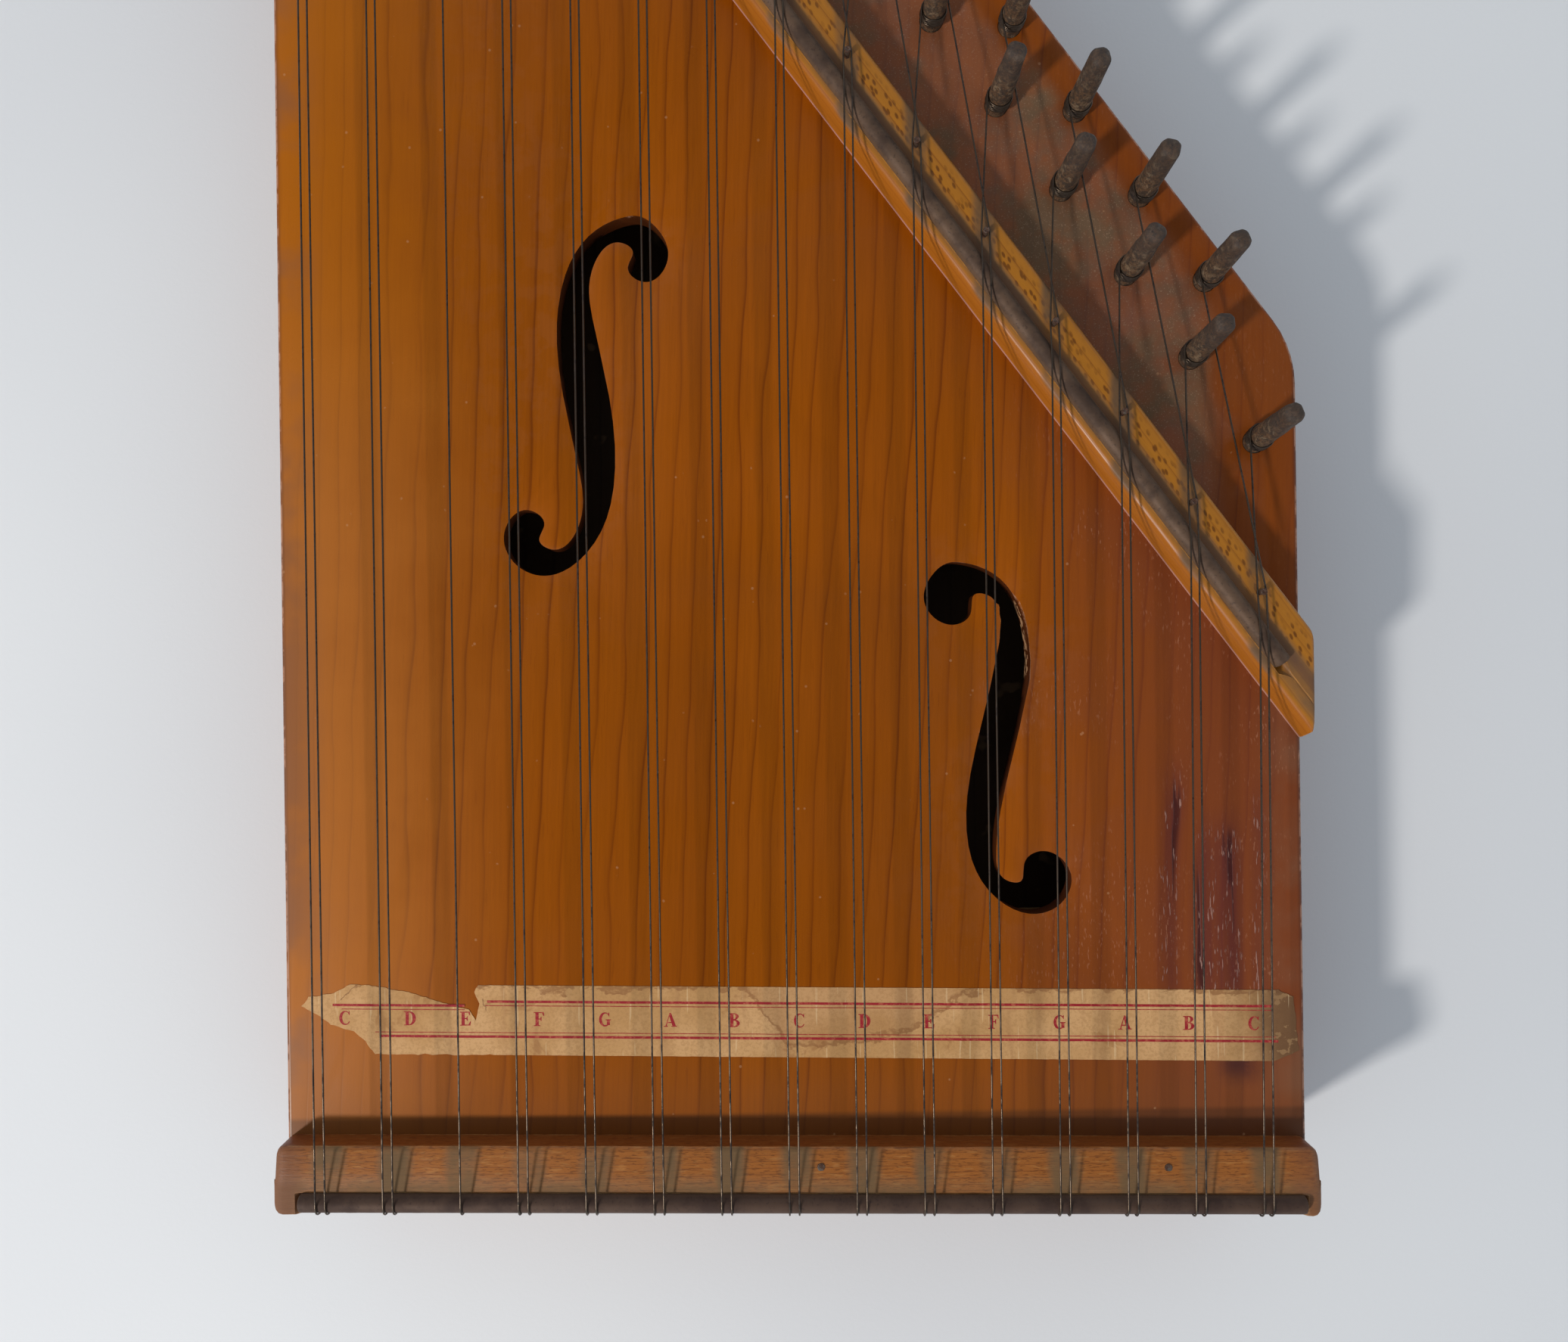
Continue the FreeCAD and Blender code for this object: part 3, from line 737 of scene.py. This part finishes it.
def rounded_path(points, radii):
    """Straight runs joined by arcs; radii belong to the inner points."""
    path = [points[0]]
    for before, here, after, radius in zip(points, points[1:], points[2:], radii):
        back = (before - here).normalized()
        ahead = (after - here).normalized()
        turn = pi - back.angle(ahead)
        if turn < 1e-3:
            path.append(here)
            continue
        cut = radius * tan(turn / 2)
        centre = here + (back + ahead).normalized() * (radius / cos(turn / 2))
        start = here + back * cut - centre
        axis = start.cross(here + ahead * cut - centre).normalized()
        count = max(2, ceil(turn / radians(9)))
        for k in range(count + 1):
            path.append(centre + Matrix.Rotation(turn * k / count, 3, axis) @ start)
    path.append(points[-1])
    return path


def slab(mesh, loops, bottom, top):
    """A flat closed solid from an outline and any holes, as lists of (x, y) points."""
    flat = [[Vector((x, y, 0)) for x, y in loop] for loop in loops]
    lower, upper = (
        [mesh.verts.new((p.x, p.y, z)) for loop in flat for p in loop] for z in (bottom, top)
    )
    for triangle in geometry.tessellate_polygon(flat):
        mesh.faces.new([upper[i] for i in triangle])
        mesh.faces.new([lower[i] for i in reversed(triangle)])
    start = 0
    for loop in flat:
        count = len(loop)
        for i in range(count):
            a, b = start + i, start + (i + 1) % count
            mesh.faces.new((lower[a], lower[b], upper[b], upper[a]))
        start += count


def arc(centre, radii, start, end, count):
    """Points on an ellipse's arc; angles in degrees."""
    angles = [radians(start + (end - start) * i / count) for i in range(count + 1)]
    return [(centre[0] + radii[0] * cos(a), centre[1] + radii[1] * sin(a)) for a in angles]


# ---- wooden pieces

def carry_over(node, material):
    """Keeps a CAD node, with softened edges and its own material."""
    part = frame["nodes"][node]
    part.data.materials.clear()
    part.data.materials.append(material)
    weld = part.modifiers.new("weld", "WELD")
    weld.merge_threshold = 1e-6
    edges = part.modifiers.new("soft_edges", "BEVEL")
    edges.width = 0.15 * MM
    edges.segments = 2
    edges.limit_method = "ANGLE"
    edges.angle_limit = radians(40)


def soundboard(varnished, raw):
    """The soundboard with its hole rims worn round and splintered in places."""
    board = welded("soundboard")
    top = DECK - 1e-5
    rim = [
        e for e in board.edges if min(v.co.z for v in e.verts) > top
        and len(e.link_faces) == 2 and e.calc_face_angle() > radians(50)
    ]
    rim_verts = list(dict.fromkeys(v for e in rim for v in e.verts))
    made = bmesh.ops.bevel(
        board, geom=rim + rim_verts, offset=0.45 * MM, segments=2, profile=0.5,
        affect="EDGES", clamp_overlap=True,
    )
    low, high = CHIPPED_RIM
    chipped = set()
    for face in made["faces"]:
        centre = face.calc_center_median()
        if all(low[i] < centre[i] < high[i] for i in (0, 1)):
            face.material_index = 1
            chipped.update(face.verts)
    for vert in {v for f in made["faces"] for v in f.verts}:
        rough = noise.noise(vert.co * 900)
        if vert.co.z < top:
            vert.co.z += rough * 0.12 * MM
        if vert in chipped:
            splinter = 0.5 + 0.5 * noise.noise(vert.co * 500)
            if vert.co.z > top:
                vert.co.x += splinter * 0.7 * MM
            else:
                vert.co.z -= splinter * 1.2 * MM
    wood = [varnished, raw]
    piece_from("soundboard_panel", board, wood, "soundboard", smooth=30)


def strip_stations(spacing, radius):
    """Places along a strip, closer together at its rounded ends."""
    half = HALF_W - radius
    count = round(2 * half / spacing)
    inner = [-half + 2 * half * i / count for i in range(count + 1)]
    ends = [HALF_W - radius * (1 - sin(radians(a))) for a in (25, 50, 70, 85)]
    return [-x for x in reversed(ends)] + inner + ends


def bridge_profile(x):
    """The bridge's section at x: (distance inside the slanted edge, height)."""
    left, right = BRIDGE_ROD
    beyond = max(left.x - x, x - right.x)
    radius = ROD_R * max(0.16, min(1, 1 - beyond / (1.5 * MM)))
    sunk = min(GROOVE_H - BRIDGE_H, radius * 0.9)
    angle = degrees(atan2(sunk, sqrt(radius ** 2 - sunk ** 2)))
    groove = arc((GROOVE_IN, BRIDGE_H + sunk), (radius, radius), 180 + angle, 360 - angle, 10)
    outer = ((0, 0.8), (0.15, 0.35), (0.45, 0.08), (0.9, 0), (4.2, 0))
    inner = ((2, 0.15), (1.3, 0.45), (0.9, 0.9), (0.45, 3.4), (0.1, 6.1))
    return [
        (BRIDGE_OUTER, 0), *((BRIDGE_OUTER + a * MM, BRIDGE_H - b * MM) for a, b in outer),
        *groove, *((BRIDGE_INNER - a * MM, BRIDGE_H - b * MM) for a, b in inner),
        (BRIDGE_INNER, 0),
    ]


def rail_profile(x):
    """The rail's section at x: (depth from the tail's end face, height)."""
    left, right = TAIL_ROD
    nearest = min(abs(x - hitch.x) for hitch in HITCHES)
    bulge = min(1, max(0, (nearest - 0.6 * MM) / (3 * MM)))
    out = -0.85 * MM * sin(bulge * pi / 2)
    beyond = max(left.x - x, x - right.x, 0)
    closed = min(1, beyond / (0.9 * MM))
    top = RAIL_REAR_H - 0.2 * MM
    lip = 7 * MM * (1 - closed) + top * closed
    groove = arc((TAIL_ROD_IN, TAIL_ROD_H), (ROD_R, ROD_R), 205, 358, 9)
    front = ((1.2, -0.1), (0.5, 0.1), (0.1, 0.5), (0, 1.1))
    return [
        (out * 0.4, 0), (out, 3 * MM), (out, lip - 0.7 * MM),
        (out + 0.25 * MM, lip - 0.15 * MM),
        *((inset, height * (1 - closed) + top * closed) for inset, height in groove),
        (TAIL_ROD_IN + ROD_R + 0.6 * MM, RAIL_REAR_H - 0.15 * MM),
        (RAIL_D * 0.6, (RAIL_REAR_H + RAIL_FRONT_H) / 2 + 0.02 * MM),
        *((RAIL_D - a * MM, RAIL_FRONT_H - b * MM) for a, b in front), (RAIL_D, 0),
    ]


def strip(name, profile_at, place_at, middle_in, radius, spacing, material, node, seed):
    """A worn hardwood strip swept from end to end, with rounded ends and small dents."""
    rings = []
    for x in strip_stations(spacing, radius):
        past = max(0, radius - (HALF_W - abs(x)))
        draw = radius - sqrt(max(0, radius * radius - past * past))
        ring = []
        for inset, height in profile_at(x):
            inset += draw if inset < middle_in else -draw
            lowered = max(0, height - draw * 0.6) if height > 1.5 * MM else height
            point = place_at(x, inset, DECK + lowered)
            spot = point * 160 + Vector((seed, seed, seed))
            if height > 1 * MM:
                point.z += noise.noise(spot) * 0.1 * MM
                point.y += noise.noise(spot + Vector((9, 9, 9))) * 0.08 * MM
            ring.append(point)
        rings.append(ring)
    piece_from(name, skin(rings), [material], node)


# ---- paper and print

def outline_of(node):
    """A flat CAD node's outline, as (x, y) points in order."""
    mesh = welded(node)
    top = max(v.co.z for v in mesh.verts)
    border = {}
    for face in mesh.faces:
        if face.normal.z > 0.9:
            for loop in face.loops:
                if loop.link_loop_radial_next.face.normal.z < 0.9:
                    after = loop.link_loop_next.vert
                    border[loop.vert.co.to_tuple(7)] = after.co.to_tuple(7)
    points = [min(border)]
    while border[points[-1]] != points[0]:
        points.append(border[points[-1]])
    mesh.free()
    return [(x, y) for x, y, z in points if abs(z - top) < 1e-5]


def torn_outline(points, step):
    """The same outline with fibres along the torn ends and slightly uneven cut edges."""
    made = []
    for i, (x, y) in enumerate(points):
        nx, ny = points[(i + 1) % len(points)]
        count = max(1, round(hypot(nx - x, ny - y) / step))
        side = Vector((ny - y, x - nx, 0)).normalized()
        for k in range(count):
            px = x + (nx - x) * k / count
            py = y + (ny - y) * k / count
            size = 0.05 * MM if TORN_LEFT <= px <= TORN_RIGHT else 0.3 * MM
            wander = noise.noise(Vector((px, py, 0)) * 700)
            wander += 0.5 * noise.noise(Vector((px, py, 9)) * 1900)
            made.append((px + side.x * wander * size, py + side.y * wander * size))
    return made


def scale_label(paper):
    """The paper strip: a slab whose rim is lighter where it is torn."""
    outline = torn_outline(outline_of("scale_label"), 0.8 * MM)
    mesh = bmesh.new()
    slab(mesh, [outline], LABEL_LOW.z, LABEL_HIGH.z - INK_T * 2)
    ring = mesh.verts.layers.float.new("torn")
    for vert in mesh.verts:
        cut = TORN_LEFT + 2 * MM <= vert.co.x <= TORN_RIGHT + 1 * MM
        vert[ring] = 0.3 if cut else 1
    tops = [f for f in mesh.faces if all(v.co.z > LABEL_LOW.z + 1e-5 for v in f.verts)]
    bmesh.ops.inset_region(mesh, faces=tops, thickness=0.5 * MM, use_even_offset=False)
    for vert in {v for f in tops for v in f.verts}:
        vert[ring] = 0
    piece_from("scale_label_paper", mesh, [paper], "scale_label", smooth=30)


STEM_L, STEM_R = 0.12, 0.35
FOOT = [(0, 1), (0, 0.95), (STEM_L, 0.93), (STEM_L, 0.07), (0, 0.05)]
TOP_ARMS = [
    (0.35, 0.46), (0.46, 0.46), (0.51, 0.35), (0.56, 0.35), (0.56, 0.67), (0.51, 0.67),
    (0.46, 0.54), (0.35, 0.54), (0.35, 0.93), (0.6, 0.93), (0.69, 0.73), (0.75, 0.73), (0.73, 1),
]


def letter_shapes(letter):
    """A serif letter one unit high: its outline, then any holes."""
    if letter == "E":
        arms = [(0, 0), (0.75, 0), (0.79, 0.29), (0.73, 0.29), (0.62, 0.07), (0.35, 0.07)]
        return [arms + TOP_ARMS + FOOT]
    if letter == "F":
        return [[(0, 0), (0.47, 0), (0.47, 0.05), (0.35, 0.07)] + TOP_ARMS + FOOT]
    if letter == "D":
        bowl = arc((0.38, 0.5), (0.48, 0.5), -90, 90, 12)
        hole = arc((0.38, 0.5), (0.24, 0.43), -90, 90, 10)
        return [[(0, 0)] + bowl + FOOT, [(STEM_R, 0.07)] + hole + [(STEM_R, 0.93)]]
    if letter == "B":
        lower = arc((0.42, 0.27), (0.38, 0.27), -90, 70, 9)
        upper = arc((0.4, 0.77), (0.33, 0.23), -60, 90, 9)
        low_hole = arc((0.42, 0.27), (0.15, 0.2), -90, 90, 7)
        high_hole = arc((0.4, 0.755), (0.12, 0.175), -90, 90, 7)
        return [
            [(0, 0)] + lower + upper + FOOT,
            [(STEM_R, 0.07)] + low_hole + [(STEM_R, 0.47)],
            [(STEM_R, 0.58)] + high_hole + [(STEM_R, 0.93)],
        ]
    if letter == "A":
        outline = [
            (0, 0), (0.3, 0), (0.3, 0.05), (0.21, 0.07), (0.265, 0.27), (0.56, 0.27),
            (0.62, 0.07), (0.54, 0.05), (0.54, 0), (0.96, 0), (0.96, 0.05), (0.87, 0.07),
            (0.53, 1), (0.43, 1), (0.13, 0.07), (0, 0.05),
        ]
        return [outline, [(0.288, 0.34), (0.535, 0.34), (0.408, 0.76)]]
    outer = arc((0.44, 0.5), (0.42, 0.51), 52, 308, 18)
    inner = arc((0.5, 0.5), (0.27, 0.43), 300, 60, 16)
    top = [(0.76, 0.68), (0.76, 0.99), (0.715, 0.99)]
    if letter == "C":
        return [outer + [(0.78, 0.22), (0.73, 0.26)] + inner + top]
    bar = [
        (0.8, 0.08), (0.8, 0.42), (0.88, 0.45), (0.88, 0.5), (0.5, 0.5), (0.5, 0.45),
        (0.58, 0.42), (0.58, 0.12),
    ]
    return [outer + bar + inner[3:] + top]


# The printed rules: left end, right end, height above the scale's middle and thickness, in mm
RULES = (
    (-103, -73.6, 2.9, 0.55), (-101, -73.6, 2, 0.16), (-68.6, 106.5, 3.85, 0.55),
    (-69, 106, 2.95, 0.16), (-92.4, 107.5, -3.95, 0.55), (-93.6, 107, -3.05, 0.16),
)


def print_rule(mesh, left, right, height, thick, z):
    """One printed rule, made of short lengths so that its edges are slightly uneven."""
    count = round((right - left) / (2.5 * MM))
    lower, upper = [], []
    for i in range(count + 1):
        x = left + (right - left) * i / count
        y = height + x * LABEL_SLOPE
        uneven = noise.noise(Vector((x * 500, height * 900, 0))) * 0.05 * MM
        lower.append((x, y - thick / 2 + uneven))
        upper.append((x, y + thick / 2 + uneven * 0.5))
    slab(mesh, [lower + upper[::-1]], z, z + INK_T)


def printed_scale(ink):
    """Three thick and three thin rules, and one note letter under each course."""
    z = LABEL_HIGH.z - INK_T * 2
    middle_y = LABEL_LOW.y + 10.4 * MM
    mesh = bmesh.new()
    for left, right, height, thick in RULES:
        print_rule(mesh, left * MM, right * MM, middle_y + height * MM, thick * MM, z)
    piece_from("label_rules", mesh, [ink])
    for course, letter in enumerate(LETTERS, 1):
        mesh = bmesh.new()
        x0 = 0.9 * MM + NAIL_PITCH * 0.989 * (course - 8) - LETTER_H * 0.42
        if course == TORN_LETTER:
            x0 -= 2 * MM
        y0 = middle_y + x0 * LABEL_SLOPE - LETTER_H / 2
        shapes = letter_shapes(letter)
        loops = [[(x0 + x * LETTER_H, y0 + y * LETTER_H) for x, y in loop] for loop in shapes]
        slab(mesh, loops, z, z + INK_T)
        piece_from("note_letter_%02d" % course, mesh, [ink])


# ---- steel pieces

# Nail profiles in mm: distance along the nail, from its far end where negative, and radius
GUIDE_NAIL = (
    (0, 0.35), (0.3, 0.62), (-0.9, 0.62), (-0.55, 0.68), (-0.22, 0.74), (-0.06, 0.66),
    (-0.02, 0.5), (-0.1, 0.34), (-0.22, 0.12),
)
RAIL_BRAD = (
    (0, 0.3), (0.6, 0.6), (-0.6, 0.7), (-0.35, 0.88), (-0.06, 0.82), (-0.02, 0.5), (-0.08, 0.15),
)
HITCH_PIN = (
    (0, 0.15), (2.2, 0.78), (-0.62, 0.78), (-0.5, 1.12), (-0.4, 1.24), (-0.16, 1.22),
    (-0.04, 1), (-0.001, 0.4),
)


def steel_rod(name, ends, material, node):
    """A cut rod with softened, slightly domed ends and a straight, faintly dented side."""
    start, end = ends
    length = (end - start).length
    cap = [(0, 0.55), (0.08 * MM, 0.82), (0.28 * MM, 0.96), (0.7 * MM, 1)]
    count = round(length / (4 * MM))
    shaft = [(2 * MM + (length - 4 * MM) * i / count, 1) for i in range(count + 1)]
    profile = cap + shaft + [(length - along, share) for along, share in reversed(cap)]
    profile = [(along, share * ROD_R) for along, share in profile]
    mesh = lathe(start, (end - start).normalized(), profile, 40, 0.012 * MM)
    piece_from(name, mesh, [material], node)


def nails(name, node, axis, profile, material, sides=16):
    """One turned nail for each solid of a CAD node, in one piece each."""
    for number, points in enumerate(solids(node), 1):
        ends = [p.dot(axis) for p in points]
        centre = middle(points)
        start = centre + axis * (min(ends) - centre.dot(axis))
        length = max(ends) - min(ends)
        rings = [((0 if along >= 0 else length) + along * MM, r * MM) for along, r in profile]
        mesh = lathe(start, axis, rings, sides, 0.02 * MM)
        piece_from("%s_%02d" % (name, number), mesh, [material], node)


def pin_mesh(seed, steel):
    """A tuning pin along local Z, z = 0 at the soundboard: round, then squared and domed."""
    neck = PIN_OUT - PIN_DOME
    levels = [(-PIN_DEEP, 0.72), (-PIN_DEEP + 0.8 * MM, 1), (-PIN_DEEP / 2, 1), (0, 1)]
    levels += [(PIN_SQUARE * i / 8, 1) for i in range(1, 9)]
    levels += [(PIN_SQUARE + (neck - PIN_SQUARE) * i / 8, 1) for i in range(1, 9)]
    dome = [radians(a) for a in (22, 42, 60, 75, 86)]
    levels += [(neck + PIN_DOME * sin(a), cos(a) ** 0.8) for a in dome]
    rings = []
    for z, share in levels:
        square = min(1, max(0, (z - PIN_SQUARE) / (1.8 * MM)))
        taper = 1 - 0.05 * max(0, (z - PIN_SQUARE) / (PIN_OUT - PIN_SQUARE))
        ring = []
        for angle in circle(40):
            x, y = cos(angle), sin(angle)
            flat = PIN_FLAT_R / (abs(x) ** 5 + abs(y) ** 5) ** (1 / 5)
            radius = PIN_R * (1 - square) + min(flat, PIN_R * 0.99) * square
            radius *= share * taper
            if z > 6 * MM:
                spot = Vector((x * 1.3, y * 1.3, z * 500 + seed * 7))
                radius -= (0.5 + 0.5 * noise.noise(spot)) * 0.09 * MM
            ring.append(Vector((radius * x, radius * y, z)))
        rings.append(ring)
    return mesh_data("pin_shape_%d" % seed, skin(rings), [steel], 48)


def pin_frame(joint):
    """A pin's foot, its axis and two directions square to it, from its joint."""
    axis = Vector(joint["axis"]).normalized()
    side = (Vector((1, 0, 0)) - axis * axis.x).normalized()
    return Vector(joint["pos_m"]), axis, side, axis.cross(side)


def tuning_pins(steel):
    """The pins, made from three shapes, each turned by its own angle."""
    shapes = [pin_mesh(seed, steel) for seed in range(3)]
    chooser = random.Random(5)
    for number, (node, joint) in enumerate(sorted(PINS.items())):
        foot, axis, side, up = pin_frame(joint)
        turn = Matrix.Rotation(radians(chooser.uniform(0, 90)), 4, "Z")
        pin = put(node.replace("tuning_pin", "wrest_pin"), shapes[number % 3])
        basis = Matrix((side, up, axis)).transposed().to_4x4()
        pin.matrix_world = Matrix.Translation(foot) @ basis @ turn
        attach(pin, node)
        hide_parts(node)


# ---- strings

def hitch_loop(x, hitch_z):
    """The wire's end: twisted round its own string, then looped under the hitch pin."""
    path = []

    def add(across, up, out=0):
        path.append(tail_place(x + across, -(LOOP_OUT + out), hitch_z + up))

    count = TWIST_TURNS * 12
    for i in range(count + 1):
        turns = TWIST_TURNS * (1 - i / count)
        angle = tau * turns
        up = TWIST_FROM + TWIST_STEP * turns
        add(TWIST_R * cos(angle), up, TWIST_R * sin(angle))
    add(0.75 * MM, 1.7 * MM)
    loop_r = 0.8 * MM + TOUCH + WIRE_R
    for i in range(13):
        angle = pi * i / 12
        add(loop_r * cos(angle), -loop_r * sin(angle))
    add(-0.62 * MM, 1.7 * MM)
    add(-0.15 * MM, TWIST_FROM - 0.3 * MM)
    add(0, TWIST_FROM + 1 * MM)
    add(0, TWIST_FROM + TWIST_STEP * (TWIST_TURNS + 1))
    return path


def string_path(course, hand):
    """From the twisted loop, over both rods and past the guide nail, to the coil on the pin."""
    hitch = HITCHES[2 * (course - 1) + (hand > 0)]
    nail = NAILS[course - 1]
    path = hitch_loop(hitch.x, hitch.z)
    off = WIRE_R + TOUCH
    corner = tail_place(hitch.x, -off, TAIL_ROD[0].z + ROD_R + off)
    guide = Vector((nail.x + hand * (0.65 * MM + off), nail.y, 0))
    over = on_line(*BRIDGE_ROD, guide.x)
    over.z += ROD_R + off
    node = "tuning_pin_%02d_%s" % (course, "inner" if hand < 0 else "outer")
    foot, axis, side, up = pin_frame(PINS[node])
    centre = foot + axis * (COIL_H / axis.z)
    reach = PIN_R + COIL_GAP + WIRE_R
    flat = (centre - guide).to_2d()
    heading = atan2(flat.y, flat.x) + asin(reach / flat.length)
    run = sqrt(flat.length ** 2 - reach ** 2)
    end = guide + Vector((cos(heading), sin(heading), 0)) * run
    end.z = centre.z
    before = (guide - over).to_2d().length
    guide.z = over.z + (end.z - over.z) * before / (before + run)
    bend = ROD_R + off
    path += rounded_path([path[-1], corner, over, guide, end], [bend, bend, 1.2 * MM])[1:-1]
    start = end - centre
    angle = atan2(start.dot(up), start.dot(side))
    count = round(COIL_TURNS * 24)
    for i in range(count + 1):
        turns = COIL_TURNS * i / count
        turned = angle - tau * turns
        snug = reach + 0.03 * MM * sin(turned * 3 + course)
        out = side * cos(turned) + up * sin(turned)
        path.append(centre - axis * (COIL_STEP * turns) + out * snug)
    return path


def strings(wire):
    """The wires of each course, which stand left and right of its guide nail."""
    for course in range(1, COURSES + 1):
        sides = {1: ""} if course == SINGLE_COURSE else {-1: "_left", 1: "_right"}
        for hand, side in sides.items():
            mesh = tube(string_path(course, hand), WIRE_R)
            name = "string_%02d%s" % (course, side)
            node = "strings_course_%02d" % course
            piece_from(name, mesh, [wire], node, 80)


# ---- studio

def studio():
    grid = bmesh.new()
    bmesh.ops.create_grid(grid, x_segments=8, y_segments=8, size=12)
    floor = put("floor", bpy.data.meshes.new("floor"))
    grid.to_mesh(floor.data)
    grid.free()
    floor.data.materials.append(floor_look())

    camera = put("camera", bpy.data.cameras.new("camera"))
    camera.location = CAMERA_PLACE
    camera.rotation_euler = (0, 0, CAMERA_TURN)
    camera.data.lens = CAMERA_LENS
    camera.data.clip_start = 0.01
    scene = bpy.context.scene
    scene.camera = camera

    key = put("key_light", bpy.data.lights.new("key_light", "AREA"))
    key.data.shape = "DISK"
    key.data.size = KEY_SIZE
    key.data.energy = KEY_ENERGY
    key.data.color = KEY_COLOUR
    towards = KEY_FROM.normalized()
    key.location = KEY_AIM + towards * KEY_FAR
    key.rotation_euler = towards.to_track_quat("Z", "Y").to_euler()

    sky = Look("studio", "worlds", "Generated")
    fade = sky.add("MapRange", {0: sky.place.split()[2], **SKY_FADE})
    light = sky.add("Background", {0: SKY_COLOUR, 1: fade})
    scene.world = sky.close("OutputWorld", light)
    scene.view_settings.view_transform = "Standard"


# ---- the instrument

def instrument():
    stained = ((150, 78, 26), (92, 44, 14))
    side_wood = wood_look("side_wood", *stained, 0, 5 * MM, 0.4)
    kept = {
        "left_side": side_wood,
        "right_side": side_wood,
        "tail_block": wood_look("tail_block_wood", *stained, QUARTER, 5 * MM, 0.42),
        "pin_block": wood_look("pin_block_wood", *stained, -SLANT_TURN, 4 * MM, 0.42),
        "back_plate": wood_look(
            "back_wood", (186, 126, 66), (128, 76, 34), 0, 6.5 * MM, 0.55, inside_shade=0.85),
        "soundboard_braces": wood_look(
            "brace_wood", (214, 172, 116), (160, 112, 62), QUARTER, 3 * MM, 0.7),
    }
    for node, material in kept.items():
        carry_over(node, material)
    soundboard(soundboard_look(), raw_wood_look())
    strip("bridge_strip", bridge_profile, slant_place, GROOVE_IN, 0.8 * MM, 1.4 * MM,
          bridge_look(), "slanted_bridge", 3)
    strip("tail_rail_strip", rail_profile, tail_place, RAIL_D / 2, 2.2 * MM, 0.9 * MM,
          rail_look(), "tail_rail", 8)
    scale_label(paper_look())
    printed_scale(ink_look())

    rod = rod_look()
    steel_rod("bridge_steel_rod", BRIDGE_ROD, rod, "bridge_rod")
    steel_rod("tail_steel_rod", TAIL_ROD, rod, "tail_rod")
    nail = steel_look(
        "rusty_nail", (120, 112, 104), (84, 52, 34), 0.42, 0.4, 900, 0.03 * MM, 0.9)
    up = Vector((0, 0, 1))
    nails("guide_nail", "guide_nails", up, GUIDE_NAIL, nail)
    nails("rail_brad", "rail_brads", up, RAIL_BRAD, nail)
    nails("hitch_pin", "hitch_pins", -TAIL_INWARD, HITCH_PIN, nail, 20)
    tuning_pins(steel_look(
        "worn_pin_steel", (116, 100, 82), (96, 68, 44), 0.5, 0.42, 330, 0.16 * MM, 0.45, 10 * MM))
    strings(steel_look(
        "dark_string_wire", (80, 69, 59), (50, 35, 26), 0.26, 0.32, 240, 0.003 * MM, 0.9))


instrument()
studio()
